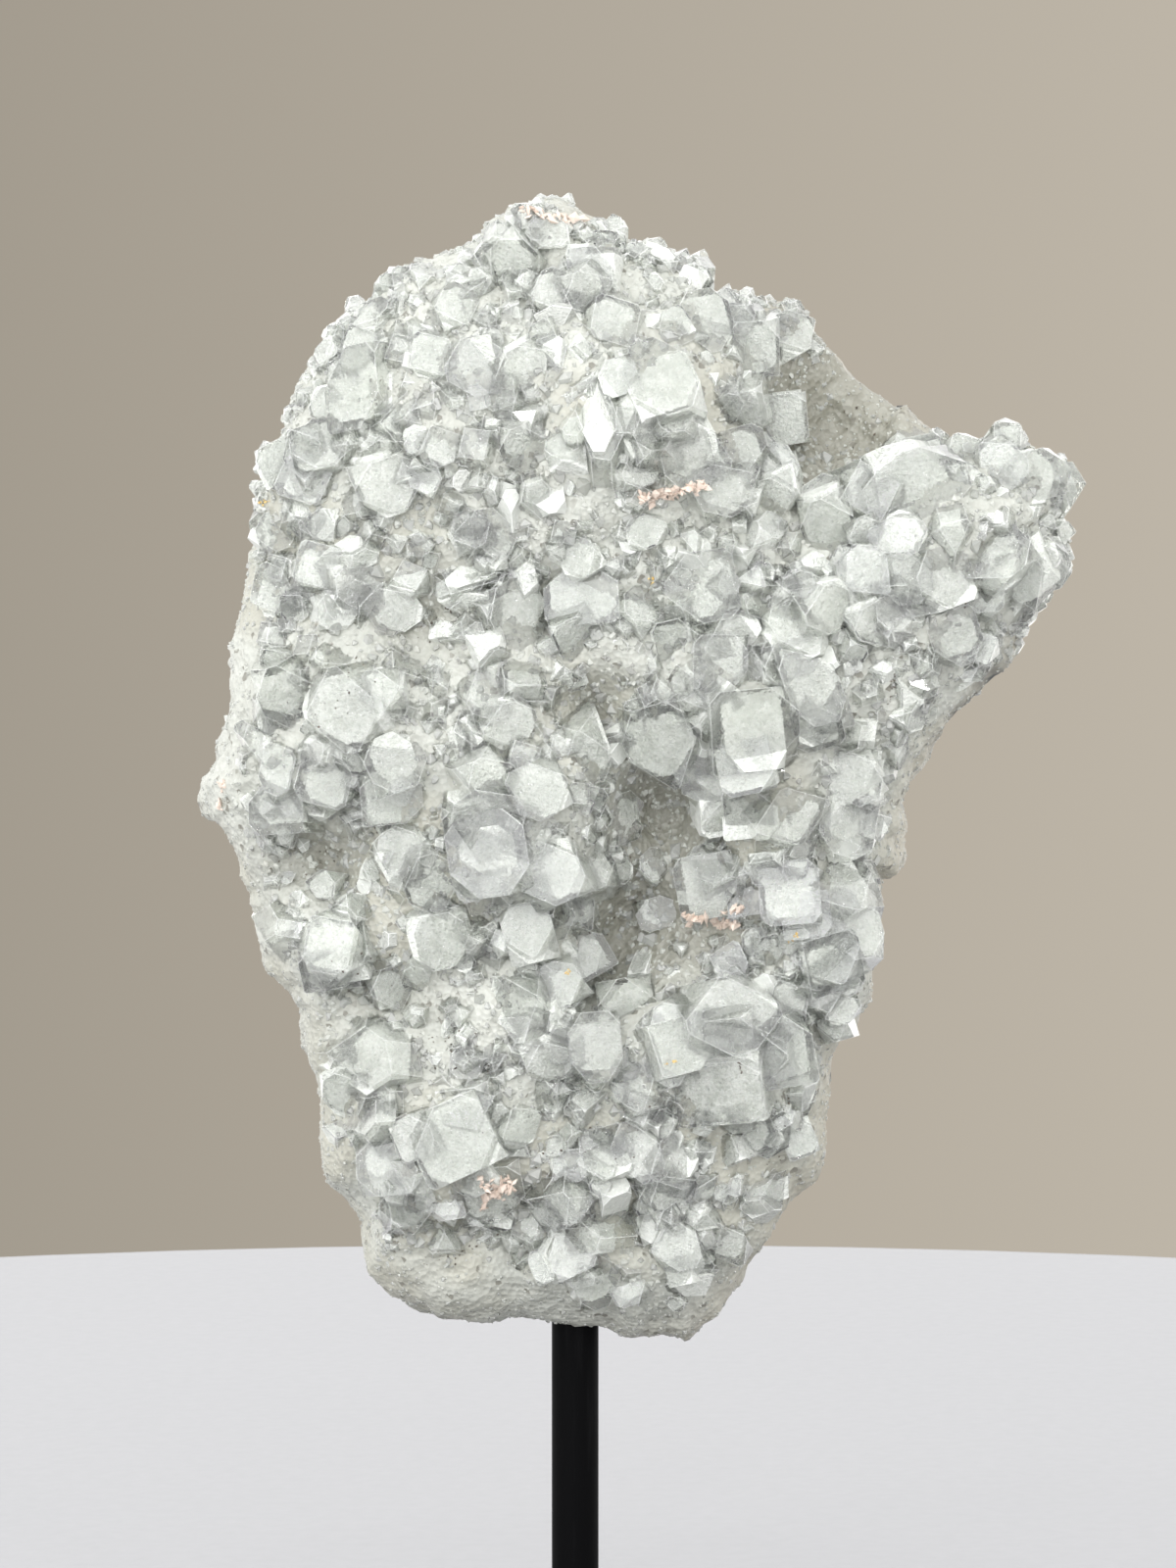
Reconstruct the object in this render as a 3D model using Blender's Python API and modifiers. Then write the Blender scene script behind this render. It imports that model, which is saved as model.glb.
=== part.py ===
"""An apophyllite cluster that stands on a round metal post in a square metal plate.

Everything is in metres with +Z up. The crystals face -Y. The origin is on the underside of the plate,
straight below the post. Sizes below are in millimetres, as they would be read off a ruler.
"""

import math

import bmesh
import bpy
from mathutils import Matrix, Vector, noise

MM = 0.001

# Stand
BASE_SIDE = 100.0
BASE_THICKNESS = 8.0
BASE_EDGE_ROUND = 1.0
POST_DIAMETER = 8.0
POST_EXPOSED = 70.0
POST_IN_ROCK = 24.0
POST_IN_BASE = 5.0
POST_EDGE_ROUND = 0.4
FIT_GAP = 0.3
ROUND_SIDES = 48

# Rock: a slab whose outline is drawn about its heart, in mm from the point where the post enters
ROCK_FOOT = BASE_THICKNESS + POST_EXPOSED
ROCK_HEART = (5.5, 102.0)
ROCK_FRONT = 25.0
ROCK_BACK = 21.0
RIM_FULLNESS = 3.4
RIM_ROUNDNESS = 0.42
CAGE_CUTS = 15
ON_RIM = 1e-6
# Height and wavelength of the rock's smooth unevenness
GRAIN = 1.6
GRAIN_LENGTH = 13.0

OUTLINE = (
    (-7, 190), (-2, 190), (5, 186), (14, 183), (21, 180), (24, 176), (34, 173), (40, 170), (46, 162),
    (54, 156), (60, 153), (63, 150), (69, 150), (76, 150), (83, 147), (83, 142), (81, 138), (83, 134),
    (83, 129), (80, 125), (76, 119), (70, 110), (62, 102), (58, 94), (56, 84), (55, 78), (52, 76),
    (51, 64), (49, 54), (45, 46), (43, 37), (41, 26), (36, 19), (32, 11), (25, 1), (18, -3), (9, -3),
    (0, -1), (-9, 0), (-23, 2), (-31, 5), (-35, 9), (-36, 17), (-42, 24), (-43, 35), (-46, 45),
    (-47, 53), (-52, 61), (-55, 72), (-59, 82), (-62, 88), (-63, 93), (-60, 100), (-58, 114),
    (-56, 127), (-53, 137), (-54, 143), (-51, 150), (-48, 157), (-43, 167), (-36, 174), (-29, 178),
    (-19, 183), (-13, 187),
)

# Swells (+) and hollows (-) of the front: x, z, radius, height
FRONT_RELIEF = (
    (43, 160, 12, -13), (40, 149, 10, -11), (50, 148, 9, -8), (61, 141, 15, 5), (77, 136, 11, 4),
    (14, 88, 10, -13), (9, 71, 9, -12), (5, 62, 7, -8), (22, 66, 11, -6), (3, 106, 6, -8),
    (-4, 122, 6, -7), (-25, 121, 8, -6), (-42, 80, 9, -10), (-33, 59, 7, -6), (-44, 66, 11, 5),
    (-20, 6, 15, 8), (-16, 17, 9, -8), (6, 14, 12, 5), (46, 66, 11, 5), (27, 49, 13, 4),
    (-8, 85, 14, 6), (-38, 105, 12, 4), (28, 103, 12, 5), (-30, 152, 18, 2), (5, 150, 16, 5),
    (15, 165, 13, 3), (50, 106, 13, 3), (-24, 32, 13, 4),
)
BACK_RELIEF = (
    (-20, 150, 26, 5), (-15, 95, 22, 4), (10, 55, 24, 6), (60, 140, 16, -6), (5, 15, 18, 2),
)
# Flat breaks of the back: x, z, depth there, rise of the depth per mm to the right and per mm up
BACK_BREAKS = (
    (-25, 150, 17, 0.20, -0.12), (40, 130, 15, -0.30, 0.06), (-32, 72, 15, 0.40, 0.04),
    (26, 50, 17, -0.16, 0.28), (4, 110, 21, 0.02, 0.03), (2, 20, 15, 0.10, 0.35),
)

# Crystals: x, z, width, lean right, lean up, turn about its own axis in degrees, corner cut.
# A cut of 0 leaves the square prism whole and 1 brings the four pyramid faces to a point.
CRYSTALS = (
    (-12, 183, 9, -0.4, 0.3, 45, 0.5), (-4, 177, 8, 0.3, -0.2, 20, 0.4), (3, 178, 9, 0.1, 0.3, 5, 0.2),
    (7, 170, 10, 0.1, 0.2, 30, 0.4), (-17, 163, 9, -0.1, 0.1, 15, 0.4), (-8, 162, 9, 0.1, 0.0, 40, 0.6),
    (-38, 159, 12, -0.35, 0.1, 8, 0.2), (-37, 167, 9, -0.5, 0.5, 30, 0.4), (-28, 168, 8, -0.2, 0.4, 25, 0.5),
    (15, 162, 13, 0.0, 0.3, 20, 0.3), (23, 170, 10, 0.1, 0.5, 10, 0.4), (31, 166, 8, 0.0, -0.1, 0, 0.1),
    (37, 168, 9, 0.5, 0.3, 25, 0.4), (28, 154, 9, -0.1, -0.3, 10, 0.3), (35, 153, 10, 0.2, -0.1, 5, 0.2),
    (34, 145, 9, 0.1, -0.2, 30, 0.4), (47, 154, 11, -0.9, -0.1, 45, 0.8), (-46, 149, 10, -0.5, 0.1, 12, 0.3),
    (-31, 142, 10, 0.1, -0.1, 20, 0.4), (-17, 150, 9, 0.4, 0.0, 35, 0.5), (-8, 149, 9, 0.1, -0.2, 15, 0.5),
    (4, 146, 13, 0.0, -0.9, 45, 0.9), (9, 154, 10, 0.1, 0.3, 40, 0.8), (19, 148, 11, 0.1, 0.0, 15, 0.3),
    (58, 143, 15, 0.0, 0.2, 15, 0.3), (72, 146, 9, -0.1, 0.3, 45, 0.5), (78, 144, 9, 0.4, 0.1, 10, 0.3),
    (71, 131, 12, -0.3, 0.0, 40, 0.5), (79, 129, 10, 0.4, -0.1, 15, 0.4), (43, 136, 11, 0.0, -0.2, 20, 0.5),
    (50, 128, 10, -0.2, 0.1, 45, 0.4), (60, 127, 11, 0.2, 0.0, 5, 0.3), (-44, 129, 10, -0.2, 0.1, 30, 0.4),
    (-36, 125, 9, 0.2, 0.0, 5, 0.2), (-29, 128, 8, 0.0, 0.1, 20, 0.5), (-9, 121, 10, 0.2, 0.1, 30, 0.3),
    (1, 124, 11, 0.1, 0.0, 5, 0.2), (12, 122, 8, 0.0, 0.4, 45, 0.5), (21, 126, 10, 0.0, 0.1, 10, 0.3),
    (38, 119, 11, 0.1, 0.1, 25, 0.4), (65, 117, 10, 0.3, -0.3, 20, 0.4), (25, 112, 10, 0.0, 0.0, 3, 0.2),
    (-40, 104, 14, 0.1, 0.0, 12, 0.5), (-51, 94, 9, -0.3, 0.2, 30, 0.4), (-51, 88, 9, -0.2, -0.1, 5, 0.2),
    (-29, 111, 8, 0.1, 0.5, 35, 0.6), (-13, 105, 10, 0.0, 0.2, 15, 0.4), (2, 97, 9, 0.2, -0.3, 20, 0.4),
    (-31, 92, 10, -0.1, 0.1, 5, 0.3), (-6, 91, 11, 0.1, 0.1, 25, 0.4), (-15, 81, 12, 0.0, 0.1, 10, 0.3),
    (3, 78, 9, 0.25, 0.35, 30, 0.3), (14, 98, 13, -0.1, -0.35, 20, 0.4), (21, 93, 10, -0.2, -0.8, 10, 0.6),
    (31, 101, 13, 0.1, 0.0, 5, 0.3), (49, 100, 10, 0.9, -0.2, 40, 0.8), (41, 108, 10, 0.1, 0.1, 15, 0.4),
    (30, 87, 10, 0.0, -0.4, 5, 0.1), (38, 86, 11, 0.1, -0.1, 20, 0.4), (47, 92, 10, 0.3, 0.0, 30, 0.4),
    (22, 75, 11, -0.1, -0.1, 10, 0.1), (36, 73, 10, -0.1, 0.1, 5, 0.3), (45, 76, 9, 0.1, 0.4, 30, 0.4),
    (47, 67, 12, 0.3, 0.1, 10, 0.4), (-42, 65, 14, -0.2, 0.1, 35, 0.5), (-8, 67, 10, 0.1, 0.0, 15, 0.4),
    (42, 56, 10, 0.1, -0.1, 20, 0.5), (27, 52, 14, 0.0, 0.1, 12, 0.5), (35, 46, 12, 0.1, -0.1, 10, 0.3),
    (25, 39, 13, 0.0, -0.45, 5, 0.2), (-5, 57, 10, 0.0, 0.1, 30, 0.4), (4, 47, 11, 0.2, -0.2, 5, 0.3),
    (10, 41, 9, 0.0, 0.1, 25, 0.4), (-30, 45, 13, 0.35, 0.1, 45, 0.5), (-42, 49, 10, -0.4, 0.1, 20, 0.4),
    (-33, 27, 12, -0.2, 0.1, 5, 0.3), (-21, 31, 12, 0.0, 0.1, 25, 0.4), (-14, 22, 11, 0.0, -0.4, 10, 0.3),
    (10, 29, 10, 0.0, 0.0, 15, 0.4), (17, 24, 9, 0.1, 0.0, 25, 0.4), (6, 13, 14, 0.45, 0.0, 45, 0.6),
    (-2, 26, 9, 0.0, 0.1, 40, 0.5), (27, 13, 8, 0.2, 0.0, 15, 0.4),
)
PYRAMID_SLOPE = math.radians(60.0)
# Where a pyramid plane crosses the top, as |x| + |y| in half widths, for a cut of 0 and of 1
WHOLE_TOP = 2.0
POINTED_TOP = 0.1
# How far a crystal stands out of the rock and how long it is, in widths
PROUD = 0.42
LENGTH = 1.35


def clear_scene():
    for item in list(bpy.data.objects):
        bpy.data.objects.remove(item, do_unlink=True)


def make_collection(name):
    collection = bpy.data.collections.new(name)
    bpy.context.scene.collection.children.link(collection)
    return collection


def make_material(name, colour, roughness, metallic=0.0):
    material = bpy.data.materials.new(name)
    material.use_nodes = True
    surface = material.node_tree.nodes["Principled BSDF"]
    surface.inputs["Base Color"].default_value = (*colour, 1.0)
    surface.inputs["Roughness"].default_value = roughness
    surface.inputs["Metallic"].default_value = metallic
    return material


def make_object(name, bm, collection, material=None):
    mesh = bpy.data.meshes.new(name)
    bmesh.ops.recalc_face_normals(bm, faces=bm.faces)
    bm.to_mesh(mesh)
    bm.free()
    item = bpy.data.objects.new(name, mesh)
    collection.objects.link(item)
    if material:
        mesh.materials.append(material)
    return item


def make_cutter(item):
    item.hide_render = True
    item.display_type = "WIRE"
    return item


def evaluated_mesh(item):
    """The object's mesh with its modifiers applied, as a new mesh."""
    bpy.context.view_layer.update()
    shown = item.evaluated_get(bpy.context.evaluated_depsgraph_get())
    return bpy.data.meshes.new_from_object(shown)


def rod(name, diameter, bottom, top, collection, edge_round=0.0):
    """An upright round rod on the Z axis between two heights in mm."""
    bm = bmesh.new()
    bmesh.ops.create_cone(
        bm, cap_ends=True, segments=ROUND_SIDES, radius1=diameter * MM / 2, radius2=diameter * MM / 2,
        depth=(top - bottom) * MM, matrix=Matrix.Translation((0, 0, (top + bottom) / 2 * MM)))
    item = make_object(name, bm, collection)
    if edge_round:
        bevel = item.modifiers.new("edge", "BEVEL")
        bevel.width = edge_round * MM
        bevel.segments = 2
        bevel.limit_method = "ANGLE"
    return item


def cut_away(item, cutter):
    cut = item.modifiers.new("socket", "BOOLEAN")
    cut.operation = "DIFFERENCE"
    cut.solver = "EXACT"
    cut.object = cutter


def make_base(parts, cutters):
    """A square plate with rounded edges and a blind socket in its top for the post."""
    bm = bmesh.new()
    bmesh.ops.create_cube(bm, size=1.0)
    bmesh.ops.scale(bm, vec=(BASE_SIDE * MM, BASE_SIDE * MM, BASE_THICKNESS * MM), verts=bm.verts)
    bmesh.ops.translate(bm, vec=(0, 0, BASE_THICKNESS / 2 * MM), verts=bm.verts)
    base = make_object("stand_base", bm, parts, make_material("black plate", (0.012, 0.012, 0.013), 0.45, 0.6))
    bevel = base.modifiers.new("edge", "BEVEL")
    bevel.width = BASE_EDGE_ROUND * MM
    bevel.segments = 3
    socket = rod("base socket", POST_DIAMETER + 2 * FIT_GAP, BASE_THICKNESS - POST_IN_BASE - FIT_GAP,
                 BASE_THICKNESS + POST_DIAMETER, cutters)
    cut_away(base, make_cutter(socket))
    return base


def make_post(parts):
    """The round rod that runs from inside the plate to inside the rock."""
    post = rod("stand_post", POST_DIAMETER, BASE_THICKNESS - POST_IN_BASE, ROCK_FOOT + POST_IN_ROCK,
               parts, POST_EDGE_ROUND)
    post.data.materials.append(make_material("black rod", (0.010, 0.010, 0.011), 0.35, 0.7))
    return post


def outline_polar():
    """The outline's points as (angle, radius) about the heart, sorted by angle."""
    points = []
    for x, z in OUTLINE:
        side, up = x - ROCK_HEART[0], z - ROCK_HEART[1]
        points.append((math.atan2(up, side) % math.tau, math.hypot(side, up)))
    return sorted(points)


POLAR = outline_polar()


def outline_radius(angle):
    """Distance from the heart to the outline's straight edge that the ray at this angle crosses."""
    angle %= math.tau
    after = next((i for i, point in enumerate(POLAR) if point[0] > angle), 0)
    (a0, r0), (a1, r1) = POLAR[after - 1], POLAR[after]
    span = (a1 - a0) % math.tau
    along = (angle - a0) % math.tau
    return r0 * r1 * math.sin(span) / (r0 * math.sin(along) + r1 * math.sin(span - along))


def relief(x, z, swells):
    return sum(height * math.exp(-((x - cx) ** 2 + (z - cz) ** 2) / radius ** 2)
               for cx, cz, radius, height in swells)


def slab_depth(x, z, front):
    """How far the rock reaches from its middle plane at (x, z): full in the middle, nothing at the rim."""
    side, up = x - ROCK_HEART[0], z - ROCK_HEART[1]
    share = math.hypot(side, up) / outline_radius(math.atan2(up, side))
    rounding = max(0.0, 1.0 - share ** RIM_FULLNESS) ** RIM_ROUNDNESS
    if front:
        return rounding * (ROCK_FRONT + relief(x, z, FRONT_RELIEF))
    breaks = [depth + right * (x - cx) + rise * (z - cz) for cx, cz, depth, right, rise in BACK_BREAKS]
    return min(rounding * (ROCK_BACK + relief(x, z, BACK_RELIEF)), *breaks)


def rock_point(unit):
    """Moves a point of the unit sphere to the rock's surface in mm: Y runs through the slab."""
    angle = math.atan2(unit.z, unit.x)
    share = min(1.0, math.hypot(unit.x, unit.z)) ** (2.0 / RIM_FULLNESS)
    reach = share * outline_radius(angle)
    x = ROCK_HEART[0] + reach * math.cos(angle)
    z = ROCK_HEART[1] + reach * math.sin(angle)
    y = math.copysign(slab_depth(x, z, unit.y < 0), unit.y) if abs(unit.y) > ON_RIM else 0.0
    return Vector((x, y, z))


def make_rock(cutters):
    """The bare matrix: a cube blown up to a ball, pressed into the slab's outline and roughened by noise."""
    bm = bmesh.new()
    bmesh.ops.create_cube(bm, size=2.0)
    bmesh.ops.subdivide_edges(bm, edges=bm.edges, cuts=CAGE_CUTS, use_grid_fill=True)
    for vert in bm.verts:
        even = Vector([math.tan(part * math.pi / 4) for part in vert.co])
        vert.co = rock_point(even.normalized())
    bmesh.ops.recalc_face_normals(bm, faces=bm.faces)
    bm.normal_update()
    pushes = [vert.normal * GRAIN * noise.noise(vert.co / GRAIN_LENGTH) for vert in bm.verts]
    for vert, push in zip(bm.verts, pushes):
        vert.co += push
    bmesh.ops.scale(bm, vec=(MM, MM, MM), verts=bm.verts)
    bmesh.ops.translate(bm, vec=(0, 0, ROCK_FOOT * MM), verts=bm.verts)
    bmesh.ops.triangulate(bm, faces=bm.faces)
    return make_cutter(make_object("bare rock", bm, cutters))


def crystal_cut(bm, point, normal):
    """Cuts everything off beyond a plane and closes the cut with one face."""
    geometry = bm.verts[:] + bm.edges[:] + bm.faces[:]
    result = bmesh.ops.bisect_plane(bm, geom=geometry, plane_co=point, plane_no=normal, clear_outer=True)
    edges = [item for item in result["geom_cut"] if isinstance(item, bmesh.types.BMEdge)]
    bmesh.ops.contextual_create(bm, geom=edges)


def make_crystal(index, spec, blanks):
    """A square prism with its top corners cut by four steep pyramid faces, set into the rock's front."""
    x, z, width, lean_x, lean_z, turn, cut = spec
    half = width / 2
    top = width * PROUD
    bm = bmesh.new()
    bmesh.ops.create_cube(bm, size=1.0)
    bmesh.ops.scale(bm, vec=(width, width, width * LENGTH), verts=bm.verts)
    bmesh.ops.translate(bm, vec=(0, 0, top - width * LENGTH / 2), verts=bm.verts)
    if cut > 0:
        reach = half * (WHOLE_TOP + (POINTED_TOP - WHOLE_TOP) * cut) / math.sqrt(2)
        for corner in range(4):
            around = math.radians(45 + 90 * corner)
            edge = Vector((math.cos(around), math.sin(around), 0)) * reach + Vector((0, 0, top))
            normal = Vector((math.cos(around) * math.sin(PYRAMID_SLOPE),
                             math.sin(around) * math.sin(PYRAMID_SLOPE), math.cos(PYRAMID_SLOPE)))
            crystal_cut(bm, edge, normal)
    axis = Vector((lean_x, -1.0, lean_z)).normalized()
    foot = Vector((x, -slab_depth(x, z, True), ROCK_FOOT + z))
    pose = (Matrix.Scale(MM, 4) @ Matrix.Translation(foot) @ axis.to_track_quat("Z", "Y").to_matrix().to_4x4()
            @ Matrix.Rotation(math.radians(turn), 4, "Z"))
    bmesh.ops.transform(bm, matrix=pose, verts=bm.verts)
    return make_cutter(make_object(f"crystal {index:02d}", bm, blanks))


def keep_largest_shell(mesh):
    """Leaves one body: what a union walls in between crystals, or leaves loose, is dropped."""
    bm = bmesh.new()
    bm.from_mesh(mesh)
    left = set(bm.verts)
    shells = []
    while left:
        shell = {left.pop()}
        edge_of_shell = list(shell)
        while edge_of_shell:
            vert = edge_of_shell.pop()
            near = {edge.other_vert(vert) for edge in vert.link_edges} & left
            left -= near
            shell |= near
            edge_of_shell.extend(near)
        shells.append(shell)
    body = max(shells, key=len)
    bmesh.ops.delete(bm, geom=[vert for vert in bm.verts if vert not in body], context="VERTS")
    bmesh.ops.triangulate(bm, faces=bm.faces)
    bm.to_mesh(mesh)
    bm.free()


def make_cluster(parts, cutters, blanks):
    """The matrix and its crystals as one solid, drilled from below for the post."""
    rock = make_rock(cutters)
    for index, spec in enumerate(CRYSTALS):
        make_crystal(index, spec, blanks)
    union = rock.modifiers.new("crystals", "BOOLEAN")
    union.operation = "UNION"
    union.solver = "EXACT"
    union.operand_type = "COLLECTION"
    union.collection = blanks
    mesh = evaluated_mesh(rock)
    rock.modifiers.remove(union)
    keep_largest_shell(mesh)
    mesh.materials.clear()
    mesh.materials.append(make_material("pale apophyllite", (0.60, 0.62, 0.57), 0.25))
    cluster = bpy.data.objects.new("crystal_cluster", mesh)
    parts.objects.link(cluster)
    socket = rod("rock socket", POST_DIAMETER + 2 * FIT_GAP, ROCK_FOOT - POST_DIAMETER,
                 ROCK_FOOT + POST_IN_ROCK + FIT_GAP, cutters)
    cut_away(cluster, make_cutter(socket))
    return cluster


def main():
    clear_scene()
    parts = make_collection("apophyllite cluster on stand")
    cutters = make_collection("cutters")
    blanks = make_collection("crystal blanks")
    make_base(parts, cutters)
    post = make_post(parts)
    make_cluster(parts, cutters, blanks)
    post.data.shade_smooth()
    post.data.set_sharp_from_angle(angle=math.radians(35))


main()
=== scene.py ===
# %% [markdown]
# # An apophyllite cluster on a pin stand
#
# The object is a slab of rock with one face covered in pale, glassy crystals. It stands upright on a
# black metal post in a black plate. This lesson builds what is seen: the rock's skin, every crystal
# large enough to be picked out, the sugary coat of small ones between them, and what is sealed in the
# clear ones. A real druse grows from the rock outwards, and so does the script: first the rock's form,
# then the large crystals, then smaller and smaller ones in the room that is left.

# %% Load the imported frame
import math

import bpy
import numpy as np
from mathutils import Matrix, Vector
from mathutils.bvhtree import BVHTree


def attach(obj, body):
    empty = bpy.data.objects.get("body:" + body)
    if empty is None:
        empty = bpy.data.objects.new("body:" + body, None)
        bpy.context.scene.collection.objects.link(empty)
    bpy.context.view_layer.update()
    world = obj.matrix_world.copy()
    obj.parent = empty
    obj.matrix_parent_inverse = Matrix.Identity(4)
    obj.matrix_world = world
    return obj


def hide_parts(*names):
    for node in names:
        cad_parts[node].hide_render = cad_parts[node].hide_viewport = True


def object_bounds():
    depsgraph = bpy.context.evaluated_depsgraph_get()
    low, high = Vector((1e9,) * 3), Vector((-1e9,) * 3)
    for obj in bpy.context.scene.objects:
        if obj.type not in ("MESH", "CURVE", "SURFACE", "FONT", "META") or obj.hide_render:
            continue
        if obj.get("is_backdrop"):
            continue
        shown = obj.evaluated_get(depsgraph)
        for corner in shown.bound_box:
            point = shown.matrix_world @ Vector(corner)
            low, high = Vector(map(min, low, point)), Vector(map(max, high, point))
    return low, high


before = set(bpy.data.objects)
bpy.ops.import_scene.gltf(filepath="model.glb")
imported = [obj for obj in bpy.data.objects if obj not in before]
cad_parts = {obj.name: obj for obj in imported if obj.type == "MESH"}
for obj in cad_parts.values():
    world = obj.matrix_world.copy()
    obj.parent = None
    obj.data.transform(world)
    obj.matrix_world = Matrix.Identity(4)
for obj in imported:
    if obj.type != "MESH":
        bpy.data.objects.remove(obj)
cad_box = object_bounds()
MM = 0.001
print("CAD box in mm:", [[round(part / MM, 1) for part in corner] for corner in cad_box])

# %% [markdown]
# ## The rock's outline
#
# The slab is seen from its broad side, so one closed outline says most of its shape. It could be a
# curve that is filled and thickened. Here it is a distance from a heart point for each direction,
# because the same rule then tells how near to the rim any point lies, and everything that grows on the
# rock needs to know that. The points are in mm to the right of the post and above the rock's foot.

# %% Outline of the slab
ROCK_FOOT = 78.0
HEART = np.array((5.5, 102.0))
OUTLINE = np.array((
    -7, 190, -4.5, 190.8, -2, 190, -0.3, 188.3, 5.5, 186.2, 8.8, 184.3, 12.2, 184, 14.2, 182.3, 18.8, 181.7,
    21.3, 180, 23.3, 175.7, 26.3, 175.8, 29.7, 174.7, 33.8, 172.8, 36.5, 173.2, 38.8, 172, 40.2, 169.8,
    43, 166.8, 45.2, 164, 46.3, 162, 50.3, 158.7, 54.7, 155.8, 56.3, 156.7, 59.7, 153.3, 62.2, 150.3,
    66.3, 151, 68.8, 150.5, 76, 150.8, 78.3, 148, 80.5, 148.2, 82.5, 147.3, 83.2, 145.7, 83, 143.3,
    83.5, 142.3, 82.3, 139.5, 81.8, 138.2, 83.2, 134.5, 83.5, 129, 80.8, 126, 77.2, 120.3, 73.8, 113.3,
    70.2, 110, 66.3, 105.7, 62.2, 101.5, 58.8, 96.2, 57.2, 90.3, 56.3, 85, 55, 82.8, 55.5, 79.8,
    54.5, 77.3, 51.8, 76.5, 51.5, 72, 51.8, 64, 50.3, 57.8, 49.7, 54.5, 47.8, 50.3, 46.5, 49, 44.3, 44.5,
    43.7, 38.7, 41.8, 31.2, 41, 25.3, 40.2, 23.7, 36.5, 19.7, 33, 12.8, 29.7, 7.3, 24.7, 1.2, 20.5, -2.3,
    18.8, -3.5, 15.5, -2.7, 9.2, -3.2, 6.3, -1.3, 0.8, -1, -4.5, 0.5, -14.5, 1.2, -18.7, 0.8, -22.8, 1.5,
    -26.2, 3.2, -31.2, 5, -35.3, 8.7, -36.2, 12.8, -36.2, 17.3, -38.2, 20.7, -42, 23.7, -42.8, 29.5,
    -44.2, 40.3, -46, 44.5, -47, 50.3, -46.8, 52.8, -48.5, 57, -50.3, 58.7, -52, 61.2, -54, 67.3,
    -55.2, 73.7, -57, 76.5, -59.2, 82, -60.8, 85.8, -62.3, 87.3, -63.2, 92, -62.3, 94, -60.5, 99.5,
    -59, 107.8, -58.5, 114.5, -57, 120.3, -56, 127, -54.2, 133.7, -52.8, 137.8, -54.2, 141.5, -53.2, 146.7,
    -51, 149.5, -50.3, 151.2, -48.7, 156.2, -45.3, 162, -43.2, 166.7, -41.2, 169.5, -35.3, 174.5,
    -31.5, 176.7, -28.7, 179.5, -27, 178.7, -23.7, 180.3, -19.5, 182.5, -15.8, 184.8, -14.5, 187,
    -10.3, 189,
)).reshape(-1, 2)
TURN = 2 * math.pi


def outline_rays():
    """The outline's points as angles and distances about the heart, sorted and closed round once."""
    side, up = (OUTLINE - HEART).T
    angle = np.arctan2(up, side) % TURN
    order = np.argsort(angle)
    angle, far = angle[order], np.hypot(side, up)[order]
    return np.append(angle, angle[0] + TURN), np.append(far, far[0])


RAY_ANGLE, RAY_LENGTH = outline_rays()


def outline_radius(angle):
    """Distance to the straight edge that a ray crosses.

    It is r0 r1 sin(span) / (r0 sin(along) + r1 sin(span - along)).
    """
    angle = (angle - RAY_ANGLE[0]) % TURN + RAY_ANGLE[0]
    after = np.clip(np.searchsorted(RAY_ANGLE, angle, side="right"), 1, len(RAY_ANGLE) - 1)
    a0, r0, r1 = RAY_ANGLE[after - 1], RAY_LENGTH[after - 1], RAY_LENGTH[after]
    span, along = RAY_ANGLE[after] - a0, angle - a0
    return r0 * r1 * np.sin(span) / (r0 * np.sin(along) + r1 * np.sin(span - along))


def rim_share(x, z):
    """How far out a point is: its distance from the heart over the outline's distance that way."""
    side, up = x - HEART[0], z - HEART[1]
    return np.hypot(side, up) / outline_radius(np.arctan2(up, side))


print("outline points:", len(OUTLINE), "width", np.ptp(OUTLINE[:, 0]), "height", np.ptp(OUTLINE[:, 1]))

# %% [markdown]
# ## The slab's thickness
#
# Across the slab the rock is thick in the middle and round at the rim. Its front has a few broad swells
# and hollows, one big valley at the upper right and some deep pockets, and its back was broken off in
# flat faces. Sculpting could do it, but a sum of soft bumps over one rounding curve is shorter and lets
# a crystal ask for the rock's surface under it.

# %% Relief of front and back
FRONT_DEPTH, BACK_DEPTH = 25.0, 21.0
RIM_FULLNESS, RIM_ROUNDNESS = 3.4, 0.42
# Centre to the right and up, radius, and height of each swell (+) or hollow (-)
FRONT_SWELLS = np.array((
    43, 160, 12, -13, 40, 149, 10, -11, 50, 148, 9, -8, 61, 141, 15, 5, 77, 136, 11, 4, 14, 88, 10, -13,
    9, 71, 9, -12, 5, 62, 7, -8, 22, 66, 11, -6, 3, 106, 6, -8, -4, 122, 6, -7, -25, 121, 8, -6,
    -42, 80, 9, -10, -33, 59, 7, -6, -44, 66, 11, 5, -20, 6, 15, 8, -16, 17, 9, -8, 6, 14, 12, 5,
    46, 66, 11, 5, 27, 49, 13, 4, 20.5, 46.5, 4, -6, 10.5, 20, 4, -6, -8, 85, 14, 6, -38, 105, 12, 4,
    28, 103, 12, 5, -30, 152, 18, 2, 5, 150, 16, 5, 15, 165, 13, 3, 50, 106, 13, 3, -24, 32, 13, 4,
)).reshape(-1, 4)
BACK_SWELLS = np.array((
    -20, 150, 26, 5, -15, 95, 22, 4, 10, 55, 24, 6, 60, 140, 16, -6, 5, 15, 18, 2,
)).reshape(-1, 4)
# Flat breaks: centre, depth there, and how fast it grows to the right and upwards
BACK_BREAKS = np.array((
    -25, 150, 17, 0.20, -0.12, 40, 130, 15, -0.30, 0.06, -32, 72, 15, 0.40, 0.04,
    26, 50, 17, -0.16, 0.28, 4, 110, 21, 0.02, 0.03, 2, 20, 15, 0.10, 0.35,
)).reshape(-1, 5)


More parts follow.
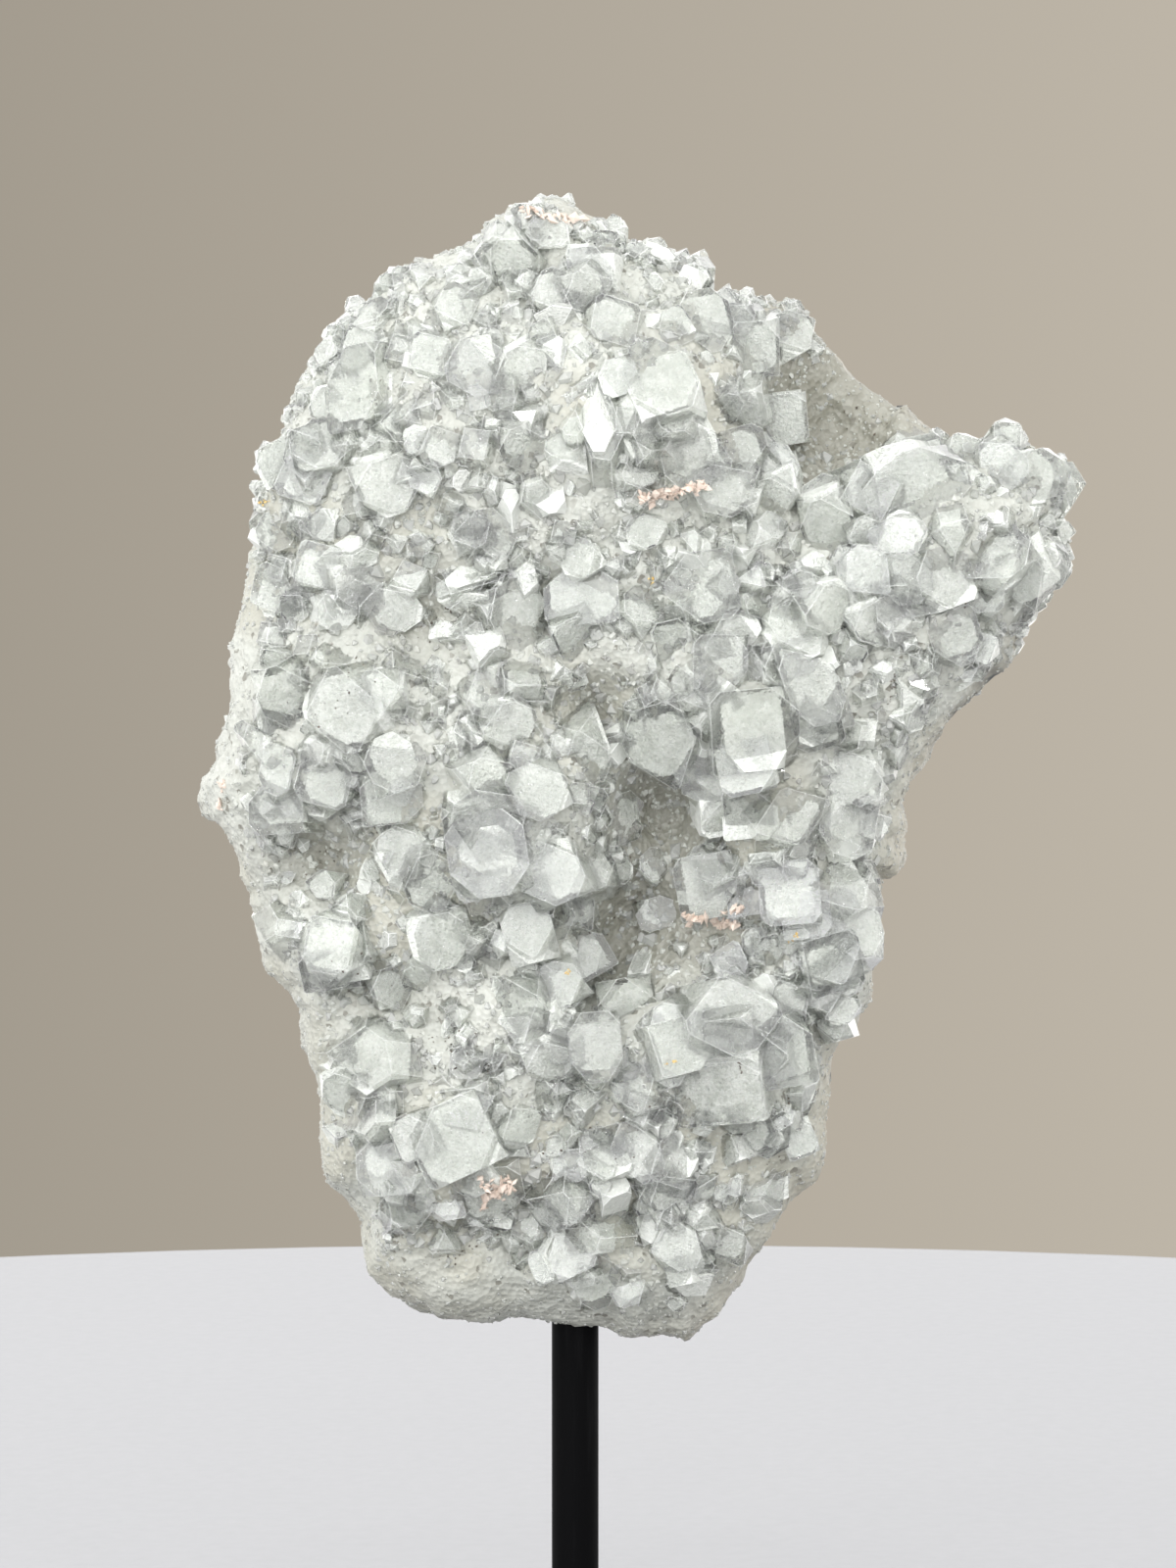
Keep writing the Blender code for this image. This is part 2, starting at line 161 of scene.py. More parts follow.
def swell(x, z, bumps):
    """Sum over the bumps of height times exp(-(distance / radius) squared)."""
    cx, cz, radius, height = bumps.T
    away = (np.asarray(x)[..., None] - cx) ** 2 + (np.asarray(z)[..., None] - cz) ** 2
    return (height * np.exp(-away / radius ** 2)).sum(-1)


def rounding(share):
    """The slab's edge profile: (1 - share to the power of the fullness) to the power of the roundness."""
    return np.maximum(0.0, 1.0 - share ** RIM_FULLNESS) ** RIM_ROUNDNESS


def front_depth(x, z):
    """How far the front stands out of the slab's middle plane: edge profile times depth and relief."""
    return rounding(rim_share(x, z)) * (FRONT_DEPTH + swell(x, z, FRONT_SWELLS))


def back_depth(x, z):
    """As the front, but cut back by whichever flat break lies lowest at the point."""
    cx, cz, depth, right, rise = BACK_BREAKS.T
    breaks = depth + right * (x[..., None] - cx) + rise * (z[..., None] - cz)
    return np.minimum(rounding(rim_share(x, z)) * (BACK_DEPTH + swell(x, z, BACK_SWELLS)), breaks.min(-1))


BARE_FROM, BARE_TO = 150.0, 372.0
# Bare ellipses: centre to the right and up, half width, half height
LEDGE = (-21.0, 6.0, 19.0, 10.0)
VALLEY = (49.0, 157.0, 13.0, 9.5)


def bareness(x, z, soft=0.05):
    """1 on bare walls, 0 where crystals grow: the lower half's rim band, the ledge and the valley."""
    turn = np.degrees(np.arctan2(z - HEART[1], x - HEART[0])) % 360
    turn = np.where(turn < 60, turn + 360, turn)
    lower = np.clip((turn - BARE_FROM) / 14, 0, 1) * np.clip((BARE_TO - turn) / 10, 0, 1)
    band = np.clip((rim_share(x, z) - 0.905) / soft, 0, 1) * lower
    for across, up, wide, high in (LEDGE, VALLEY):
        away = ((x - across) / wide) ** 2 + ((z - up) / high) ** 2
        band = np.maximum(band, np.clip((1.15 - away) / 0.3, 0, 1))
    return band


print("front depth at the heart: %.1f mm" % front_depth(*HEART))

# %% [markdown]
# ## Roughness of stone
#
# Rock needs unevenness that is the same on every run. Two recipes are enough: smooth noise, which mixes
# random numbers at the corners of a lattice, and cell noise, which measures the distance to the nearest
# of many scattered points and so makes the close-set knobs of a druse. Both work on whole arrays.

# %% Smooth noise and cell noise
def scatter(cells, salt):
    """A repeatable number from 0 to 1 for each whole-number cell, from products and bit shifts."""
    a, b, c = (cells[..., axis].astype(np.int64) for axis in range(3))
    mixed = (a * 374761393 + b * 668265263 + c * 1442695041 + salt * 1013904223) & 0xFFFFFFFF
    mixed = ((mixed ^ (mixed >> 13)) * 1274126177) & 0xFFFFFFFF
    mixed = ((mixed ^ (mixed >> 15)) * 2246822519) & 0xFFFFFFFF
    return (mixed ^ (mixed >> 16)) / 4294967295.0


def smooth_noise(points, length, salt):
    """Noise from -1 to 1: the eight corner numbers of a lattice cell, weighted by eased distances."""
    spot = points / length
    cell = np.floor(spot)
    ease = spot - cell
    ease = ease * ease * (3 - 2 * ease)
    total = 0.0
    for corner in np.ndindex(2, 2, 2):
        weight = np.prod(np.where(corner, ease, 1 - ease), axis=-1)
        total = total + weight * scatter(cell + corner, salt)
    return 2 * total - 1


def cell_noise(points, length, salt):
    """Distance to the nearest scattered point, in cell lengths, and that point's own random number."""
    spot = points / length
    cell = np.floor(spot)
    best = np.full(spot.shape[:-1], 9.0)
    name = np.zeros(spot.shape[:-1])
    for near in np.ndindex(3, 3, 3):
        there = cell + near - 1
        point = there + np.stack([scatter(there, salt + axis) for axis in range(3)], -1)
        away = np.linalg.norm(point - spot, axis=-1)
        name = np.where(away < best, scatter(there, salt + 3), name)
        best = np.minimum(best, away)
    return best, name


# %% [markdown]
# ## From arrays to meshes
#
# Every piece below ends as an array of points and a list of faces, so one helper writes them all into
# meshes. It takes extra numbers per point too, which the finishes read later: how much painted shade a
# point gets, or where it sits on its own crystal.

# %% Helper that makes a piece
def make_piece(name, points_mm, faces, notes=None, smooth=False):
    """A mesh object at the origin from points in mm and arrays of faces, one array per number of corners."""
    corners = np.concatenate([group.ravel() for group in faces])
    sizes = np.concatenate([np.full(len(group), group.shape[1]) for group in faces])
    mesh = bpy.data.meshes.new(name)
    mesh.vertices.add(len(points_mm))
    mesh.vertices.foreach_set("co", (points_mm * MM).astype(np.float32).ravel())
    mesh.loops.add(len(corners))
    mesh.loops.foreach_set("vertex_index", corners.astype(np.int32))
    mesh.polygons.add(len(sizes))
    mesh.polygons.foreach_set("loop_start", np.concatenate(([0], np.cumsum(sizes)[:-1])).astype(np.int32))
    mesh.polygons.foreach_set("use_smooth", np.full(len(sizes), smooth))
    for key, values in (notes or {}).items():
        flat = values.ndim == 1
        note = mesh.attributes.new(key, "FLOAT" if flat else "FLOAT_VECTOR", "POINT")
        note.data.foreach_set("value" if flat else "vector", values.astype(np.float32).ravel())
    mesh.update()
    mesh.validate()
    piece = bpy.data.objects.new(name, mesh)
    bpy.context.scene.collection.objects.link(piece)
    print(f"{name}: {len(points_mm)} points, {int((sizes - 2).sum())} triangles")
    return piece


# %% [markdown]
# ## The rock's skin
#
# A ball pressed flat would crowd its points at two poles. Here a square grid is bent into a disc, once
# for the front and once for the back, and the two share their rim, so the points stay even and the
# skin is closed. It is then pushed along its own normals: broad lumps everywhere, close knobs where
# crystals grow, and sharp-edged chips on the broken back.

# %% Grid for the skin
SKIN_GRID = 216


def disc_grid(count):
    """A square grid bent into a unit disc: rings stay rings, and each side sweeps a quarter turn."""
    u, v = np.meshgrid(np.linspace(-1, 1, count + 1), np.linspace(-1, 1, count + 1), indexing="ij")
    wide = np.abs(u) >= np.abs(v)
    ring = np.where(wide, u, v)
    safe = np.where(ring == 0, 1.0, ring)
    turn = np.where(wide, math.pi / 4 * v / safe, math.pi / 2 - math.pi / 4 * u / safe)
    return ring * np.cos(turn), ring * np.sin(turn)


def skin_faces(count):
    """Quads of the front grid, then of the back grid with its rim points replaced by the front's."""
    index = np.arange((count + 1) ** 2).reshape(count + 1, count + 1)
    inner = np.zeros(index.shape, bool)
    inner[1:-1, 1:-1] = True
    back = index.copy()
    back[inner] = index.size + np.arange(inner.sum())
    front = np.stack([index[:-1, :-1], index[1:, :-1], index[1:, 1:], index[:-1, 1:]], -1).reshape(-1, 4)
    behind = np.stack([back[:-1, :-1], back[:-1, 1:], back[1:, 1:], back[1:, :-1]], -1).reshape(-1, 4)
    return np.concatenate([front, behind]), inner


def point_normals(points, quads):
    """Each point's normal: the sum of the cross products of the diagonals of the quads around it."""
    a, b, c, d = (points[quads[:, k]] for k in range(4))
    facing = np.cross(c - a, d - b)
    total = np.zeros_like(points)
    for k in range(4):
        np.add.at(total, quads[:, k], facing)
    return total / np.maximum(np.linalg.norm(total, axis=1, keepdims=True), 1e-9)


# %% Points of the skin
RIM_INSET = 0.4
RIM_CROWDING = 1.5
disc_x, disc_z = disc_grid(SKIN_GRID)
skin_quads, inner = skin_faces(SKIN_GRID)
ring = np.clip(np.hypot(disc_x, disc_z), 0, 1)
angle = np.arctan2(disc_z, disc_x)
share = 1 - (1 - ring) ** RIM_CROWDING
reach = share * (outline_radius(angle) - RIM_INSET)
skin_x = HEART[0] + reach * np.cos(angle)
skin_z = HEART[1] + reach * np.sin(angle)
edge = rounding(share)
front_y = -edge * (FRONT_DEPTH + swell(skin_x, skin_z, FRONT_SWELLS))
cut_line = BACK_BREAKS[:, 2] + BACK_BREAKS[:, 3] * (skin_x[..., None] - BACK_BREAKS[:, 0])
cut_line = (cut_line + BACK_BREAKS[:, 4] * (skin_z[..., None] - BACK_BREAKS[:, 1])).min(-1)
back_y = np.minimum(edge * (BACK_DEPTH + swell(skin_x, skin_z, BACK_SWELLS)), np.maximum(cut_line, 2.0))
front_points = np.stack([skin_x, front_y, skin_z + ROCK_FOOT], -1).reshape(-1, 3)
back_points = np.stack([skin_x, back_y, skin_z + ROCK_FOOT], -1)[inner]
skin = np.concatenate([front_points, back_points])
skin_normals = point_normals(skin, skin_quads)

# %% Lumps, knobs and chips
# Middle of a spot of painted shade on the right side wall, in the basalt's dark colour
WALL_SHADE_SPOT = (68.0, ROCK_FOOT + 106.0)
skin_up = skin[:, 2] - ROCK_FOOT
stoniness = np.clip((skin[:, 1] - 1.5) / 5.0 + 0.5 * smooth_noise(skin, 9.0, 5), 0, 1)
lumps = 1.3 * smooth_noise(skin, 12.0, 1) + 0.7 * smooth_noise(skin, 5.0, 2)
knob, knob_name = cell_noise(skin, 2.6, 3)
fine_knob, _ = cell_noise(skin, 1.5, 11)
knobs = (0.5 + 0.7 * knob_name) * np.maximum(0.0, 1 - knob ** 2) + 0.35 * np.maximum(0.0, 1 - fine_knob ** 2)
chip, chip_name = cell_noise(skin * (1.0, 1.3, 0.8), 7.0, 21)
chips = 1.3 * (chip_name - 0.5) * np.clip(1.3 - chip, 0, 1) + 0.4 * smooth_noise(skin, 2.2, 25)
bare = bareness(skin[:, 0], skin_up) * (skin[:, 1] < 2)
ragged = 0.9 * smooth_noise(skin, 3.4, 26) + 0.6 * smooth_noise(skin, 1.6, 27)
push = (0.8 * lumps + (1 - stoniness) * (1 - 0.6 * bare) * (knobs - 0.6) + stoniness * (chips + 0.4 * ragged)
        + 0.6 * bare * ragged)
upright = 1 - np.abs(skin_normals[:, 1])
push += upright * np.clip((skin[:, 1] + 14) / 10, 0, 1) * (1.7 * smooth_noise(skin, 8.0, 28) - 0.5)
skin = skin + skin_normals * push[:, None]

# %% Notes on the skin
skin_up = skin[:, 2] - ROCK_FOOT
# Painted shade: this note marks the front's hollows and the upper right valley, which the finish darkens.
valley_shade = np.exp(-((skin[:, 0] - VALLEY[0]) / VALLEY[2]) ** 2 - ((skin_up - VALLEY[1]) / VALLEY[3]) ** 2)
hollow_shade = np.clip(-swell(skin[:, 0], skin_up, FRONT_SWELLS) / 9.0, 0, 1)
hollow_shade = np.maximum(hollow_shade, valley_shade) * (skin[:, 1] < 0)
# Painted shade: this note marks the right-hand side walls, which the finish makes darker and warmer, as
# shade with warm reflected light.
flank_shade = np.clip((skin[:, 1] + 14.0) / 8.0, 0, 1) * np.clip((skin[:, 0] + 5.0) / 30.0, 0, 1) * (1 - stoniness)
# Painted shade: a spot on the right side wall is given the dark basalt colour, for the shade on that wall.
basalt_and_wall_shade = np.exp(-((skin[:, 0] - WALL_SHADE_SPOT[0]) ** 2 + (skin[:, 2] - WALL_SHADE_SPOT[1]) ** 2) / 55.0)
basalt_and_wall_shade *= np.clip((skin[:, 1] + 12) / 8, 0, 1)
stoniness = np.maximum(stoniness, np.clip(2.2 * basalt_and_wall_shade + 0.8 * smooth_noise(skin, 3.5, 6) * basalt_and_wall_shade, 0, 1))
mottle = np.clip(0.5 + smooth_noise(skin, 8.0, 31) + 0.5 * smooth_noise(skin, 3.0, 32), 0, 1)
patch = np.clip(2.5 * smooth_noise(skin, 26.0, 33) + 0.8 * smooth_noise(skin, 6.0, 34) - 0.3, 0, 1)
rock = make_piece("matrix_rock", skin, [skin_quads], {"hollow_shade": hollow_shade, "stone": stoniness, "flank_shade": flank_shade,
                                                      "mottle": mottle, "patch": patch}, smooth=True)

# %% [markdown]
# ## The shape of one crystal
#
# Apophyllite grows as a square prism that looks like a cube. Each of its four upper corners is cut by a
# steep pyramid face, slightly or so far that the four faces meet in a point. Cutting cubes with planes
# one by one would be slow for thousands of crystals. Instead the corners of all of them are worked out
# at once: every cut has its own size, so no two crystals are alike, and all faces stay flat.

# %% Corners and faces of a crystal
STEEPNESS = 1.2247
CORNER_X = np.array((1, -1, -1, 1))
CORNER_Y = np.array((1, 1, -1, -1))
BLOCK_FACES = {
    8: np.array([[8, 9, 10, 11, 12, 13, 14, 15]]),
    3: np.array([[0, 9, 8], [1, 11, 10], [2, 13, 12], [3, 15, 14]]),
    6: np.array([[7, 4, 0, 8, 15, 3], [4, 5, 1, 10, 9, 0], [5, 6, 2, 12, 11, 1], [6, 7, 3, 14, 13, 2]]),
    4: np.array([[4, 7, 6, 5]]),
}
POINT_FACES = {
    4: np.array([[8, 9, 10, 11], [4, 7, 6, 5]]),
    5: np.array([[0, 13, 9, 8, 12], [1, 14, 10, 9, 13], [2, 15, 11, 10, 14], [3, 12, 8, 11, 15],
                 [7, 4, 0, 12, 3], [4, 5, 1, 13, 0], [5, 6, 2, 14, 1], [6, 7, 3, 15, 2]]),
}


def crystal_corners(reach, length):
    """Corners of crystals of half width 1 whose top is at height 0, as two arrays, blocks and points.

    A pyramid plane is z = -steepness (|x| + |y| - reach). Where reach is over 1 it crosses the top in
    front of the corner, and under 1 it meets its neighbours in ridges that run down to the side faces.
    """
    count = len(reach)
    sharp = np.zeros((count, 16, 3))
    sharp[:, :4, 0] = sharp[:, 4:8, 0] = CORNER_X
    sharp[:, :4, 1] = sharp[:, 4:8, 1] = CORNER_Y
    sharp[:, :4, 2] = -STEEPNESS * (2 - reach)
    sharp[:, 4:8, 2] = -length[:, None]
    block = sharp.copy()
    step = reach - 1
    block[:, 8::2, 0] = np.stack([step[:, 0] * 0 + 1, -step[:, 1], step[:, 2] * 0 - 1, step[:, 3]], 1)
    block[:, 8::2, 1] = np.stack([step[:, 0], step[:, 1] * 0 + 1, -step[:, 2], step[:, 3] * 0 - 1], 1)
    block[:, 9::2, 0] = np.stack([step[:, 0], step[:, 1] * 0 - 1, -step[:, 2], step[:, 3] * 0 + 1], 1)
    block[:, 9::2, 1] = np.stack([step[:, 0] * 0 + 1, step[:, 1], step[:, 2] * 0 - 1, -step[:, 3]], 1)
    last = np.roll(reach, 1, axis=1)
    mean, slip = (reach + last) / 2, (reach - last) / 2
    out_x, out_y = np.array((1, 0, -1, 0)), np.array((0, 1, 0, -1))
    side_x, side_y = np.array((0, -1, 0, 1)), np.array((1, 0, -1, 0))
    sharp[:, 8:12, 0] = out_x * mean + side_x * slip
    sharp[:, 8:12, 1] = out_y * mean + side_y * slip
    sharp[:, 12:, 0] = out_x + side_x * slip
    sharp[:, 12:, 1] = out_y + side_y * slip
    sharp[:, 12:, 2] = -STEEPNESS * (1 - mean)
    return block, sharp


# %% [markdown]
# ## A list of crystals
#
# All crystals, from the largest to the smallest, are rows of the same numbers: where the middle of the
# top is, which way the crystal points, its turn about that axis, width, length, how much of its corners
# is cut, and which finish it has. Keeping the rows apart from the meshes lets one crystal be the parent
# of others, and it lets one call write all crystals of one finish into one piece.

# %% Rows of crystals
FINISHES = ("clear", "veiled", "milky", "frosted")


def unit(vectors):
    """Vectors scaled to a length of 1."""
    return vectors / np.maximum(np.linalg.norm(vectors, axis=-1, keepdims=True), 1e-9)


def crystal_axes(axis, turn):
    """Each crystal's own X, Y and Z: level and upright square to its axis, then turned about it."""
    level = unit(np.cross((0.0, 0.0, 1.0), axis))
    upright = np.cross(axis, level)
    c, s = np.cos(turn)[:, None], np.sin(turn)[:, None]
    return np.stack([level * c + upright * s, upright * c - level * s, axis], 1)


def rows(top, axis, turn, width, length, cut, finish):
    """One table of crystals, as a dict of arrays of equal length."""
    return {"top": top, "axis": unit(axis), "turn": turn, "width": width, "length": length, "cut": cut,
            "finish": finish}


def join(*tables):
    """Several tables as one."""
    return {key: np.concatenate([table[key] for table in tables]) for key in tables[0]}


def pick(table, keep):
    """The rows that a mask or a list of indices names."""
    return {key: values[keep] for key, values in table.items()}


# %% Mesh of a table of crystals
def crystal_piece(name, table, seed, edge=0.0, narrow=1.0, sink=0.0):
    """Writes a table's crystals as one piece: shape in the crystal's own axes, then turned and moved.

    A lopsided crystal is a straight one whose height is changed by a share of its x and y, which keeps
    every face flat. A narrow, sunk one is the cloudy root inside a crystal: slimmer, its top lower by a
    share of the width.
    """
    draw = np.random.default_rng(seed)
    count = len(table["width"])
    cut = np.clip(table["cut"][:, None] + draw.normal(0, 0.15, (count, 4)), 0.04, 0.96)
    pointed = table["cut"] > 0.53
    cut = np.where(pointed[:, None], np.maximum(cut, 0.56), np.minimum(cut, 0.49))
    half = table["width"] / 2
    block, sharp = crystal_corners(2.0 - 1.9 * cut, table["length"] / half)
    own = np.where(pointed[:, None, None], sharp, block) * half[:, None, None]
    own[..., :2] *= 1 + draw.uniform(-0.2, 0.2, (count, 1, 2))
    own[..., 2] += (own[..., :2] * draw.normal(0, 0.13, (count, 1, 2))).sum(-1)
    own[..., :2] *= (1 + 0.05 * (own[..., 2:] / table["length"][:, None, None]))
    own[..., :2] *= narrow
    own[..., 2] -= sink * table["width"][:, None]
    axes = crystal_axes(table["axis"], table["turn"])
    points = np.einsum("nkj,nji->nki", own, axes) + table["top"][:, None]
    start = np.arange(count) * 16
    faces = {}
    for shapes, chosen in ((BLOCK_FACES, ~pointed), (POINT_FACES, pointed)):
        for corners, pattern in shapes.items():
            some = (start[chosen][:, None, None] + pattern).reshape(-1, corners)
            faces.setdefault(corners, []).append(some)
    faces = [np.concatenate(group) for group in faces.values()]
    shift = draw.uniform(0, 400, (count, 1, 3))
    tone = np.repeat(draw.uniform(0, 1, count), 16)
    piece = make_piece(name, points.reshape(-1, 3), faces,
                       {"own": (own + shift).reshape(-1, 3), "tone": tone})
    facet = piece.data.attributes.new("facet", "FLOAT", "FACE")
    facet.data.foreach_set("value", draw.random(len(piece.data.polygons)).astype(np.float32))
    if edge:
        # The bevel's faces take the second slot, whose finish paints a highlight along the edges.
        bevel = piece.modifiers.new("painted highlight edges", "BEVEL")
        bevel.width = edge * MM
        bevel.segments = 1
        bevel.limit_method = "ANGLE"
        bevel.angle_limit = math.radians(20)
        bevel.material = 1
    return piece
